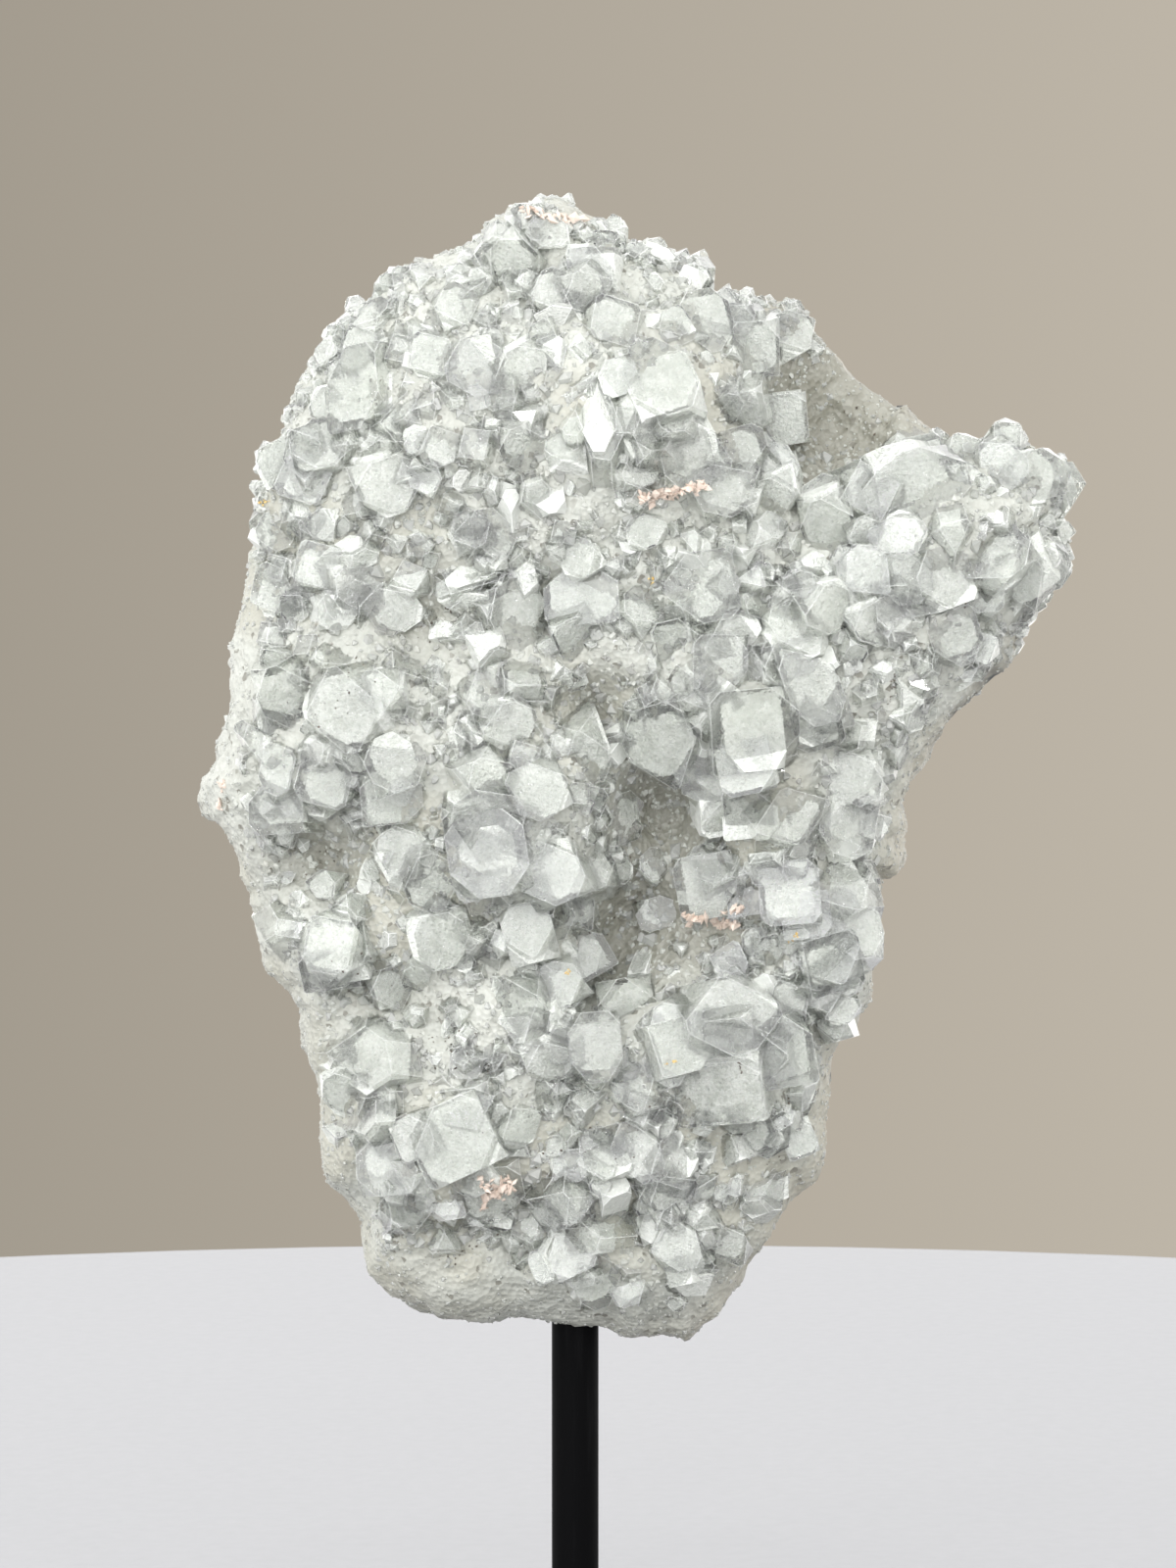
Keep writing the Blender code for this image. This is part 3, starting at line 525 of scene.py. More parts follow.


# %% [markdown]
# ## The large crystals
#
# 156 crystals are listed one by one: where the top shows in the front view, its width,
# which way it leans, its turn and how far its corners are cut. A top that stands out of the rock is
# nearer to the eye and so looks further from the middle of the view than it is. The placing rule slides
# it back along the line of sight until it sits on the rock.

# %% Listed crystals
# right, up, width, lean right, lean up, turn, cut, finish (0 clear, 1 veiled, 2 milky, 3 frosted)
LARGE = np.array((
    -10.7, 180.2, 8, -0.4, 0.2, 45, 0.4, 1, -4.5, 185.7, 6, 0, 0.5, 5, 0.2, 1,
    4.5, 184.2, 4.5, 0.3, 0.6, 20, 0.4, 2, 2.5, 177.8, 8, 0.1, 0.1, 5, 0.2, 1,
    -3.8, 175.8, 7, 0.3, -0.2, 20, 0.4, 1, -8.2, 162.5, 8, 0, 0, 30, 0.45, 2,
    -17, 162.8, 8, -0.1, 0.1, 15, 0.4, 1, -38, 159.2, 11, -0.35, 0.1, 10, 0.2, 0,
    -29, 166, 6, -0.2, 0.2, 30, 0.7, 1, -28.8, 177.5, 4.5, -0.2, 0.7, 45, 0.3, 2,
    -37, 166.5, 8, -0.5, 0.5, 30, 0.4, 3, -31.7, 142.5, 9.5, 0.1, -0.1, 20, 0.35, 1,
    -43.8, 129.3, 9, -0.2, 0.1, 30, 0.45, 2, -36.5, 125.3, 7.5, 0.2, 0, 5, 0.15, 1,
    -28.2, 127.3, 7, 0, 0.1, 20, 0.6, 1, -31.2, 121.7, 8, 0.3, -0.2, 35, 0.4, 1,
    -18, 136, 7, -0.3, 0.3, 30, 0.4, 0, -13.7, 134.5, 7, 0.1, 0, 10, 0.4, 0,
    -16.7, 149.5, 7, 0.4, 0, 35, 0.65, 0, -8.7, 148.7, 7, 0.1, -0.2, 15, 0.5, 0,
    -22.8, 149.5, 6, 0, 0.1, 25, 0.4, 1, 4.5, 145, 11.5, 0, -0.9, 45, 0.85, 1,
    8.8, 153.7, 9, 0.1, 0.35, 40, 0.85, 0, 11, 145.3, 6.5, 0.2, 0, 20, 0.45, 3,
    14.5, 161.3, 12, 0, 0.3, 20, 0.35, 2, 30.7, 165.7, 7, 0, -0.1, 0, 0.08, 0,
    37.5, 169, 8, 0.5, 0.3, 25, 0.4, 1, 28, 154.5, 7.5, -0.1, -0.3, 10, 0.2, 1,
    25.5, 155.3, 5.5, -0.2, 0, 30, 0.4, 0, 28, 148.7, 7, 0, 0.1, 15, 0.4, 1,
    34.2, 153.7, 8.5, 0.2, -0.1, 5, 0.15, 0, 46, 154.3, 10, -0.9, -0.1, 45, 0.85, 1,
    25.3, 132.2, 3.5, 0, 0, 30, 0.48, 2, 11.5, 122.5, 6.5, 0, 0.35, 45, 0.3, 0,
    1, 123.8, 10, 0.1, 0, 5, 0.2, 1, 12.2, 135, 6, 0, 0.1, 20, 0.4, 3, -9.5, 121, 9, 0.2, 0.1, 30, 0.3, 1,
    1, 117, 6.5, 0.1, -0.4, 25, 0.4, 1, 58, 142.5, 13.5, 0, 0.2, 15, 0.3, 1,
    72, 146.5, 7.5, -0.1, 0.3, 45, 0.45, 0, 78.5, 144.5, 8, 0.3, 0.1, 10, 0.3, 1,
    71, 131, 9.5, -0.3, 0, 40, 0.45, 2, 80.5, 129.5, 7.5, 0.4, -0.1, 15, 0.4, 1,
    75.5, 127, 9, 0, -0.2, 25, 0.4, 1, 66, 149, 6, -0.1, 0.6, 30, 0.4, 1,
    43, 135.5, 9.5, 0, -0.2, 20, 0.45, 1, 44, 141, 8, -0.1, 0.1, 35, 0.4, 1,
    33.8, 140.5, 7.5, 0.1, 0, 15, 0.5, 0, 34, 145.5, 8, 0.1, -0.2, 30, 0.4, 1,
    49.7, 128, 8.5, -0.2, 0.1, 45, 0.4, 1, 56.5, 127, 8, 0.2, 0, 5, 0.25, 1,
    63, 127, 8.5, 0.2, 0, 20, 0.4, 2, 55, 134, 8, 0, 0.1, 30, 0.4, 0, 64.7, 117, 8, 0.2, -0.3, 20, 0.4, 1,
    -40.8, 114.2, 5, 0, 0.3, 45, 0.25, 0, -28.5, 111.5, 6.5, 0.1, 0.5, 35, 0.7, 0,
    -40, 104.5, 12.5, 0.1, 0, 10, 0.48, 1, -50.7, 94.8, 7, -0.2, 0.2, 30, 0.4, 1,
    -51, 88.7, 8, -0.1, -0.1, 5, 0.2, 0, -49, 107, 9, -0.2, 0, 20, 0.4, 1, -42.5, 92, 8, 0, 0.1, 30, 0.4, 1,
    -42, 65, 11, -0.1, 0.1, 35, 0.5, 3, -30.5, 96, 8, -0.1, 0.1, 20, 0.35, 1,
    -31.2, 89.5, 8, 0, 0, 5, 0.15, 0, -14, 107.5, 7.5, 0, 0.1, 25, 0.5, 0,
    -11, 102, 8, 0.1, 0.1, 15, 0.4, 1, 2, 96.5, 8, 0.2, -0.3, 20, 0.4, 1, 7.7, 97.3, 3.5, 0.9, 0, 0, 0.4, 2,
    -6, 91, 10, 0.1, 0.1, 25, 0.4, 1, -14.5, 86, 9, 0, 0.1, 35, 0.4, 2,
    3.2, 77.5, 7.5, 0.25, 0.35, 30, 0.25, 0, 8, 86, 7, 0.4, 0.1, 15, 0.4, 1,
    -15, 80, 10.5, 0, 0.1, 10, 0.35, 1, -4.5, 77, 9, 0, 0, 25, 0.4, 1, 0.5, 70.5, 6.5, 0.1, 0, 35, 0.5, 0,
    30.7, 101, 12, 0.1, 0, 5, 0.25, 1, 20.8, 93, 8.5, -0.2, -0.8, 10, 0.62, 2,
    14.5, 98, 12, -0.1, -0.35, 20, 0.4, 1, 16.3, 116.5, 6, 0, -0.2, 10, 0.2, 1,
    24.7, 111.8, 9, 0, 0, 0, 0.15, 0, 27.8, 117.5, 7, 0, 0.1, 20, 0.4, 1,
    21.5, 125.5, 9.5, 0, 0.1, 10, 0.35, 2, 38, 118.5, 9.5, 0.1, 0.1, 25, 0.4, 1,
    49, 100.5, 8.5, 0.9, -0.2, 40, 0.85, 1, 29.5, 87, 8.5, 0, -0.4, 5, 0.1, 1,
    37, 86.5, 10.5, 0.1, -0.1, 20, 0.45, 0, 53, 80, 9, 0.3, 0, 30, 0.5, 3, 47, 86, 9, 0.2, 0, 30, 0.4, 1,
    22.3, 74.5, 9.5, -0.1, -0.1, 10, 0.12, 0, 24, 79, 8, 0, 0.1, 25, 0.4, 0,
    13.5, 78.5, 5, 0, 0, 45, 0.3, 0, 14, 70, 5.5, 0.1, 0, 20, 0.4, 0, 36.5, 73.5, 8.5, -0.1, 0.1, 5, 0.2, 0,
    45.5, 75, 8.5, 0.1, 0.4, 30, 0.4, 1, 47, 68, 10.5, 0.2, 0.1, 10, 0.35, 1,
    43.5, 62.5, 8.5, 0.1, 0, 25, 0.4, 1, 37, 65.5, 4.5, 0, 0, 40, 0.4, 1, 33, 63, 5.5, 0, 0, 15, 0.3, 0,
    36.5, 54.5, 6.5, -0.1, -0.3, 30, 0.4, 1, 42.3, 56, 8.5, 0, -0.1, 20, 0.55, 1,
    27, 52.5, 12.5, 0, 0.1, 10, 0.48, 1, 34.5, 46, 10.5, 0.1, -0.1, 10, 0.2, 2,
    24.5, 39, 11.5, 0, -0.45, 5, 0.15, 3, 10, 41, 8, 0, 0.1, 25, 0.5, 0, 15.7, 44, 7, 0, 0, 15, 0.3, 1,
    37.5, 37.5, 5, -0.1, -0.7, 45, 0.6, 1, 30.7, 32, 6, 0, 0, 20, 0.4, 1, 17, 51, 7.5, 0, 0.1, 35, 0.4, 1,
    9, 54, 7.5, 0, 0.1, 10, 0.4, 1, -4, 57, 8.5, 0, 0.1, 30, 0.4, 1, -10.5, 54, 8, -0.1, 0, 20, 0.4, 1,
    3.5, 47, 9.5, 0.2, -0.2, 5, 0.2, 1, -4, 44.5, 7.5, 0, 0, 25, 0.4, 1,
    -30, 44.5, 11.5, 0.35, 0.1, 45, 0.75, 1, -43.5, 48.5, 10, -0.4, 0.1, 20, 0.4, 3,
    -39.5, 38.5, 8, -0.3, 0, 30, 0.4, 1, -32, 27, 10, -0.1, 0.1, 5, 0.25, 0,
    -40.5, 27, 7, -0.3, 0.1, 25, 0.4, 1, -25, 23.5, 7, 0.3, -0.5, 30, 0.65, 1,
    -21, 31, 11, 0, 0.1, 25, 0.35, 2, -14.5, 21.5, 9, 0, -0.4, 10, 0.35, 1,
    -9, 33.5, 7.5, 0, 0.1, 30, 0.48, 1, -1, 26.5, 6.5, 0.1, 0, 45, 0.4, 0, 4.5, 29, 7.5, 0, 0.1, 20, 0.4, 1,
    10.5, 29, 8.5, 0, 0, 15, 0.35, 1, 17, 27, 7.5, 0.1, 0, 25, 0.4, 1, 17, 21.5, 7.5, 0, -0.1, 35, 0.4, 1,
    -1, 21, 6.5, 0, 0, 10, 0.4, 1, 6.5, 13, 12, 0.45, 0, 45, 0.8, 1, 4, 7, 8, 0.1, -0.2, 20, 0.4, 1,
    26.5, 13, 6.5, 0.1, 0, 30, 0.45, 2, 17, 13, 7.5, 0, 0, 15, 0.4, 1, -1, 12, 7.5, -0.1, 0, 25, 0.4, 1,
    22, 170.5, 8.5, 0.1, 0.3, 10, 0.35, 1, 26.5, 171, 7, 0.1, 0.4, 30, 0.4, 0,
    7, 170.5, 9, 0.1, 0.2, 30, 0.4, 1, -20, 173.5, 8, -0.1, 0.4, 20, 0.4, 1,
    -46, 143.5, 9, -0.3, 0, 25, 0.4, 1, -43, 150, 8, -0.3, 0.2, 12, 0.35, 1,
    -24.5, 165, 7, -0.1, 0.2, 35, 0.4, 1, -51, 135, 7, -0.4, 0, 20, 0.4, 1,
    -52, 125, 7, -0.4, 0, 30, 0.4, 3, 18.8, 148.5, 10, 0.1, 0, 15, 0.35, 1, 25.5, 142, 8, 0, 0, 30, 0.4, 1,
    -4.5, 140.5, 4.5, 0, 0.2, 10, 0.3, 2, 0.5, 130.5, 7, 0, 0.1, 30, 0.4, 1, 44, 122, 9, 0.1, 0, 15, 0.4, 1,
    52, 119, 8, 0.1, -0.1, 30, 0.4, 1, 40.5, 108.5, 10, 0.1, 0.1, 15, 0.4, 1,
    47, 93.5, 9, 0.3, 0, 30, 0.4, 1, -24.5, 75, 8, -0.1, 0, 20, 0.4, 3, -29.5, 80, 8, 0, 0, 30, 0.4, 1,
    -23, 65, 9.5, 0, 0.1, 15, 0.4, 1, -8, 67, 9, 0.1, 0, 15, 0.4, 1, 0.5, 63, 8, 0.1, 0, 30, 0.4, 1,
    -31, 57, 7, 0, 0, 20, 0.4, 1,
)).reshape(-1, 8)
VIEW_CENTRE = (2.2, 170.0)
VIEW_DISTANCE = 800.0
VIEW_TILT = math.radians(3.0)
PROUD = 0.34
LENGTH = 1.5


def seat(x, z, lean, width, proud):
    """Where a crystal seen at (x, z) on the post's plane stands: it slides along its line of sight.

    A point y in front of that plane looks distance / (distance + y) times further from the view's middle.
    """
    place_x, place_z = x, z
    for _ in range(5):
        y = -front_depth(np.asarray(place_x), np.asarray(place_z)) + lean[:, 1] * width * proud
        nearer = (VIEW_DISTANCE + y) / VIEW_DISTANCE
        place_x = VIEW_CENTRE[0] + (x - VIEW_CENTRE[0]) * nearer
        place_z = (VIEW_CENTRE[1] - y * math.tan(VIEW_TILT) - ROCK_FOOT
                   + (z + ROCK_FOOT - VIEW_CENTRE[1]) * nearer)
    return np.stack([place_x, y, place_z + ROCK_FOOT], -1)


WIDTH_ALLOWANCE = 1.1
LARGE[:, 2] *= WIDTH_ALLOWANCE
sway = np.random.default_rng(3).normal(0, 0.17, (len(LARGE), 2))
lean = unit(np.stack([LARGE[:, 3] + sway[:, 0], -np.ones(len(LARGE)), LARGE[:, 4] + sway[:, 1]], -1))
large = rows(seat(LARGE[:, 0], LARGE[:, 1], lean, LARGE[:, 2], PROUD), lean, np.radians(LARGE[:, 5]),
             LARGE[:, 2], LARGE[:, 2] * LENGTH, LARGE[:, 6], LARGE[:, 7].astype(int))
print("large crystals:", len(LARGE))

# %% [markdown]
# ## Crystals that share a root
#
# A crystal of this kind is seldom alone. Beside it stand others that grew from the same root: same
# axes, a little smaller and lower, so a big crystal looks stepped. Around its foot sit small ones that
# point anywhere. Seeded random numbers place them all. A crystal is kept only where its foot is in the
# rock and the rock isn't a bare wall.

# %% Companions and satellites
def companions(table, count, seed):
    """Parallel crystals beside their parents: shifted by part of a width across, lower, and smaller."""
    draw = np.random.default_rng(seed)
    chosen = draw.integers(0, len(table["width"]), count)
    parent = pick(table, chosen)
    axes = crystal_axes(parent["axis"], parent["turn"])
    around = draw.integers(0, 8, count) * math.pi / 4 + draw.normal(0, 0.2, count)
    width = parent["width"] * draw.uniform(0.4, 0.8, count)
    away = (parent["width"] * 0.42 + width * draw.uniform(0.05, 0.35, count))
    low = parent["width"] * draw.uniform(0.04, 0.42, count)
    top = (parent["top"] + axes[:, 0] * (away * np.cos(around))[:, None]
           + axes[:, 1] * (away * np.sin(around))[:, None] - parent["axis"] * low[:, None])
    axis = parent["axis"] + draw.normal(0, 0.16, (count, 3))
    return rows(top, axis, parent["turn"] + draw.normal(0, 0.05, count), width, width * LENGTH,
                np.clip(parent["cut"] + draw.normal(0.1, 0.15, count), 0.05, 0.9),
                np.where(draw.random(count) < 0.6, parent["finish"], draw.integers(0, 3, count)))


def surface_points(count, seed, inner_share, outer_share):
    """Random points of the front, even over its area: the square root evens the discs out."""
    draw = np.random.default_rng(seed)
    angle = draw.uniform(0, TURN, count * 3)
    far = outline_radius(angle)
    keep = draw.random(count * 3) < (far / far.max()) ** 2
    angle, far = angle[keep][:count], far[keep][:count]
    share = np.sqrt(draw.uniform(inner_share ** 2, outer_share ** 2, len(angle)))
    return (HEART[0] + (far - RIM_INSET) * share * np.cos(angle),
            HEART[1] + (far - RIM_INSET) * share * np.sin(angle))


def front_normal(x, z, step=0.8):
    """Outward direction of the front: minus the slopes of its depth, and -1 across."""
    right = (front_depth(x + step, z) - front_depth(x - step, z)) / (2 * step)
    rise = (front_depth(x, z + step) - front_depth(x, z - step)) / (2 * step)
    return unit(np.stack([-right, -np.ones_like(x), -rise], -1))


def sprinkle(x, z, seed, small, large_, spread, proud, odds):
    """Crystals at given places of the front: along the rock's normal, more or less askew."""
    draw = np.random.default_rng(seed)
    count = len(x)
    width = small + (large_ - small) * draw.random(count) ** 2
    normal = front_normal(x, z)
    axis = unit(normal + draw.normal(0, spread, (count, 3)))
    foot = np.stack([x, -front_depth(x, z), z + ROCK_FOOT], -1)
    top = foot + axis * (width * draw.uniform(proud - 0.2, proud + 0.2, count))[:, None]
    return rows(top, axis, draw.uniform(0, TURN, count), width, width * LENGTH,
                draw.choice((0.25, 0.4, 0.6, 0.75, 0.9), count), draw.choice(4, count, p=odds))


def rooted(table, share=0.7):
    """True where a point down the crystal's axis, at a share of its length, lies inside the rock."""
    foot = table["top"] - table["axis"] * (table["length"] * share)[:, None]
    x, z = foot[:, 0], foot[:, 2] - ROCK_FOOT
    return (rim_share(x, z) < 0.985) & (foot[:, 1] > -front_depth(x, z)) & (foot[:, 1] < back_depth(x, z))


# %% Growing the smaller crystals
COMPANIONS, MEDIUM, RIM = 480, 1800, 520
family = companions(large, COMPANIONS, 7)
x, z = surface_points(MEDIUM, 8, 0.0, 0.985)
medium = sprinkle(x, z, 9, 2.4, 6.5, 0.5, 0.3, (0.35, 0.45, 0.13, 0.07))
gap = np.linalg.norm(medium["top"][:, None] - large["top"], axis=-1)
medium = pick(medium, (gap > 0.34 * (medium["width"][:, None] + large["width"])).all(1))
x, z = surface_points(RIM, 18, 0.955, 0.999)
rim = sprinkle(x, z, 19, 1.8, 4.2, 0.4, 0.4, (0.2, 0.4, 0.25, 0.15))
small = join(family, medium, rim)
hollowness = -swell(small["top"][:, 0], small["top"][:, 2] - ROCK_FOOT, FRONT_SWELLS)
small = pick(small, hollowness < 3.5 + 9 * np.random.default_rng(21).random(len(hollowness)) ** 2)
grown = join(large, small)
grown = pick(grown, rooted(grown))
chance = np.random.default_rng(20).random(len(grown["width"]))
covered = bareness(grown["top"][:, 0], grown["top"][:, 2] - ROCK_FOOT)
grown = pick(grown, covered < 0.2 + 0.2 * chance)
# Milky and frosted crystals stay only where they are small: large ones look like opaque stones
dice = np.random.default_rng(22)
hazy = (grown["finish"] > 1) & ((grown["width"] > 5.0) | (dice.random(len(grown["finish"])) < 0.6))
grown["finish"] = np.where(hazy, dice.integers(0, 2, len(hazy)), grown["finish"])
print("crystals:", {name: int((grown["finish"] == number).sum()) for number, name in enumerate(FINISHES)})

# %% Pieces of large and medium crystals
EDGE_WIDTH = 0.26
crystals = {}
for number, name in enumerate(FINISHES):
    chosen = pick(grown, grown["finish"] == number)
    crystals[name] = crystal_piece("crystals_" + name, chosen, 30 + number, edge=EDGE_WIDTH)

# %% [markdown]
# ## The sugary coat
#
# Between the crystals lies a coat of grains of about a millimetre, the same mineral again. There are
# thousands, so each grain is only a four-sided stub with a blunt point, fourteen triangles. They are one
# array as well: a unit grain times each grain's size, turned by its axes and moved to its place.

# %% Grains
GRAIN = np.array([(1, 1, -1), (-1, 1, -1), (-1, -1, -1), (1, -1, -1),
                  (1, 1, 0), (-1, 1, 0), (-1, -1, 0), (1, -1, 0), (0, 0, 0.8)], float)
GRAIN_QUADS = np.array([[3, 2, 1, 0], [0, 1, 5, 4], [1, 2, 6, 5], [2, 3, 7, 6], [3, 0, 4, 7]])
GRAIN_TRIS = np.array([[4, 5, 8], [5, 6, 8], [6, 7, 8], [7, 4, 8]])


def grain_piece(name, foot, normal, size, seed):
    """Grains at the given feet: a unit grain scaled unevenly, set askew to the surface."""
    draw = np.random.default_rng(seed)
    count = len(foot)
    axes = crystal_axes(unit(normal + draw.normal(0, 0.45, (count, 3))), draw.uniform(0, TURN, count))
    shape = draw.uniform(0.75, 1.25, (count, 1, 3)) * size[:, None, None] / 2
    points = np.einsum("nkj,nji->nki", GRAIN * shape, axes) + foot[:, None]
    start = np.arange(count)[:, None, None] * len(GRAIN)
    tone = np.repeat(draw.random(count), len(GRAIN))
    return make_piece(name, points.reshape(-1, 3),
                      [(start + GRAIN_QUADS).reshape(-1, 4), (start + GRAIN_TRIS).reshape(-1, 3)],
                      {"tone": tone})


def druse(name, count, seed, small, big):
    """Grains at random points of the skin's own triangles, where crystals grow and not on bare stone."""
    draw = np.random.default_rng(seed)
    dark = (stoniness * (1 - patch))[skin_quads].mean(1)
    keep = np.flatnonzero(dark < draw.uniform(0.15, 0.75, len(skin_quads)))
    a, b, c, d = (skin[skin_quads[keep, k]] for k in range(4))
    area = np.linalg.norm(np.cross(c - a, d - b), axis=1)
    chosen = draw.choice(len(keep), count, p=area / area.sum())
    u, v = draw.random((2, count, 1))
    foot = (a[chosen] * (1 - u) * (1 - v) + b[chosen] * u * (1 - v) + c[chosen] * u * v
            + d[chosen] * (1 - u) * v)
    normal = unit(np.cross(c - a, d - b)[chosen])
    size = small + (big - small) * draw.random(count) ** 2
    size *= 1 - 0.5 * bareness(foot[:, 0], foot[:, 2] - ROCK_FOOT)
    return grain_piece(name, foot, normal, size, seed + 1)


grains = [druse("druse_sugar", 13500, 41, 0.4, 1.15), druse("druse_glassy", 5000, 51, 0.7, 2.0)]

# %% [markdown]
# ## What is sealed in the crystals
#
# Clear apophyllite is never quite clear. Healed cracks cross it as veils, thin curved layers of tiny
# bubbles. Haze could be faked in the glass itself, but then it would lie flat on the faces. Here each
# veil is a patch of specks inside its crystal, so it shifts behind the faces as the view moves. The
# haze is a cloudy core: a second, slimmer crystal inside the clear one, with slightly other faces.

# %% Cloudy roots
ROOTS = {"clear": (0.86, 0.25, 70), "veiled": (0.92, 0.14, 71)}
roots = []
for name, (narrow, sink, seed) in ROOTS.items():
    number = FINISHES.index(name)
    chosen = pick(grown, grown["finish"] == number)
    roots.append(crystal_piece("root_" + name, chosen, seed, narrow=narrow, sink=sink))

# %% Veils
SPECK = np.array([(1, 0, 0), (-1, 0, 0), (0, 1, 0), (0, -1, 0), (0, 0, 1), (0, 0, -1)], float)
SPECK_TRIS = np.array([[0, 2, 4], [2, 1, 4], [1, 3, 4], [3, 0, 4],
                       [2, 0, 5], [1, 2, 5], [3, 1, 5], [0, 3, 5]])


def speck_piece(name, middle, size, seed, flatness=1.0):
    """Eight-faced specks of given sizes, each turned at random and flattened."""
    draw = np.random.default_rng(seed)
    count = len(middle)
    axes = crystal_axes(unit(draw.normal(0, 1, (count, 3))), draw.uniform(0, TURN, count))
    shape = draw.uniform(0.6, 1.4, (count, 1, 3)) * size[:, None, None] / 2 * (1, 1, flatness)
    points = np.einsum("nkj,nji->nki", SPECK * shape, axes) + middle[:, None]
    start = np.arange(count)[:, None, None] * len(SPECK)
    tone = np.repeat(draw.random(count), len(SPECK))
    return make_piece(name, points.reshape(-1, 3), [(start + SPECK_TRIS).reshape(-1, 3)], {"tone": tone})


def veil_points(table, per_crystal, seed):
    """Points on a curved sheet through each crystal: two numbers across it and a soft bend in the third."""
    draw = np.random.default_rng(seed)
    count = len(table["width"])
    half = table["width"] / 2
    sheet = crystal_axes(unit(draw.normal(0, 1, (count, 3))), draw.uniform(0, TURN, count))
    across = draw.normal(0, 0.28, (count, per_crystal, 3))
    across[..., 2] = 0.35 * (across[..., 0] ** 2 - 0.1) + draw.normal(0, 0.02, (count, per_crystal))
    inside = np.einsum("nkj,nji->nki", across, sheet)
    inside[..., 2] -= 0.55
    inside = np.clip(inside, (-0.62, -0.62, -1.4), (0.62, 0.62, -0.22)) * half[:, None, None]
    axes = crystal_axes(table["axis"], table["turn"])
    return (np.einsum("nkj,nji->nki", inside, axes) + table["top"][:, None]).reshape(-1, 3)


glassy = pick(grown, (grown["finish"] < 2) & (grown["width"] > 4.5) & (grown["cut"] < 0.53))
veil = veil_points(glassy, 10, 61)
veils = speck_piece("sealed_veils", veil, np.random.default_rng(62).uniform(0.08, 0.3, len(veil)), 63, 0.5)

# %% [markdown]
# ## Other minerals
#
# A few spots of colour sit on the pale crystals: peach-pink blades, taken for stilbite, dark specks, and
# yellow specks that are painted glints of light turned yellow by refraction. Each is placed where it is
# seen, so its line of sight is followed from the eye to the first crystal or stone it meets, and the
# grain is set there, partly sunk in.

# %% Where lines of sight land
EYE = np.array((VIEW_CENTRE[0], -VIEW_DISTANCE * math.cos(VIEW_TILT),
                VIEW_CENTRE[1] + VIEW_DISTANCE * math.sin(VIEW_TILT)))


def sight_tree(pieces):
    """A search tree over the faces of several pieces, in metres."""
    points, faces = [], []
    for piece in pieces:
        mesh = piece.data
        flat = np.empty(len(mesh.vertices) * 3, np.float32)
        mesh.vertices.foreach_get("co", flat)
        mesh.calc_loop_triangles()
        corners = np.empty(len(mesh.loop_triangles) * 3, np.int32)
        mesh.loop_triangles.foreach_get("vertices", corners)
        faces.append(corners.reshape(-1, 3) + sum(map(len, points)))
        points.append(flat.reshape(-1, 3))
    return BVHTree.FromPolygons(np.concatenate(points).tolist(), np.concatenate(faces).tolist())


seen_surface = sight_tree([rock, *crystals.values()])


def land(x, z):
    """First point and normal that a line from the eye through (x, z) of the post's plane meets, in mm."""
    spots, normals = [], []
    for way in np.stack([x, 0 * x, z + ROCK_FOOT], -1) - EYE:
        spot, normal, _, _ = seen_surface.ray_cast(Vector(EYE * MM), Vector(way))
        if spot is not None:
            spots.append(np.array(spot) / MM)
            normals.append(np.array(normal))
    return np.array(spots), np.array(normals)


# %% Stilbite, painted yellow glints and dark specks
def strewn(spots, seed):
    """Random places along streaks. A row is middle, half length across and up, half thickness, count."""
    draw = np.random.default_rng(seed)
    many = spots[:, 5].astype(int)
    x, z, run, rise, thick = (np.repeat(part, many) for part in spots[:, :5].T)
    along = draw.uniform(-1, 1, len(x))
    return (x + along * run + draw.normal(0, 0.5, len(x)) * thick,
            z + along * rise + draw.normal(0, 0.5, len(x)) * thick)


PEACH = np.array((
    16.3, 141.6, 5.5, 1.2, 0.9, 90, 22.8, 68.7, 4.4, -0.6, 0.8, 70, -13.5, 22.8, 2.0, 1.0, 2.2, 60,
    -4, 188, 5.5, -1.0, 0.8, 26, -60, 90, 0.4, 3.0, 0.5, 10, 27, 70.5, 2, 0.5, 0.6, 12,
)).reshape(-1, 6)
# Yellow specks: painted glints, light turned yellow by refraction
YELLOW = np.array((
    13.2, 126.7, 0.7, 0.3, 0.5, 8, 37.2, 65.7, 0.6, 0.6, 0.5, 8, -52.8, 140, 0.5, 0.6, 0.5, 7,
    16.3, 44.5, 0.9, 0.3, 0.5, 8, -1, 60, 0.6, 0.2, 0.4, 5,
)).reshape(-1, 6)
DARK = np.array((
    28.2, 43.5, 0.2, -0.9, 0.25, 14, 53.8, 108.3, 0.3, 2.6, 0.5, 22, 66.3, 122.8, 0.6, 0.4, 0.5, 10,
    -44, 79, 5, 4, 5, 40, -22, 46, 5, 2, 4, 46, -34, 62, 6, 3, 4, 34, 45, 152, 8, 6, 5, 40,
    8, 72, 4, 9, 3, 24, -24, 120, 5, 2, 3, 22, 0, 30, 14, 6, 7, 30, -20, 12, 7, 2, 2, 22,
    -40, 108, 5, 5, 4, 20, 34, 30, 4, 9, 4, 26,
)).reshape(-1, 6)
# Streaks, smallest and largest size in mm, and flatness
STREWN = {"stilbite_blades": (PEACH, 0.9, 2.3, 0.35), "painted_yellow_glints": (YELLOW, 0.35, 0.8, 0.8),
          "dark_specks": (DARK, 0.18, 0.55, 0.7)}
inclusions = {}
for name, (spots, small, big, flatness) in STREWN.items():
    foot, facing = land(*strewn(spots, len(spots)))
    size = small + (big - small) * np.random.default_rng(len(foot)).random(len(foot)) ** 2
    inclusions[name] = speck_piece(name, foot + facing * (0.12 * size)[:, None], size, 91, flatness)

# %% [markdown]
# ## Operators for shader maths
#
# A finish is a small sum: so much of this colour where that noise is high. Written as nodes it is long,
# so one class stands for a socket and lets Python's own signs add the Math nodes, and one class stands
# for the finish and has a single method that adds any other node.

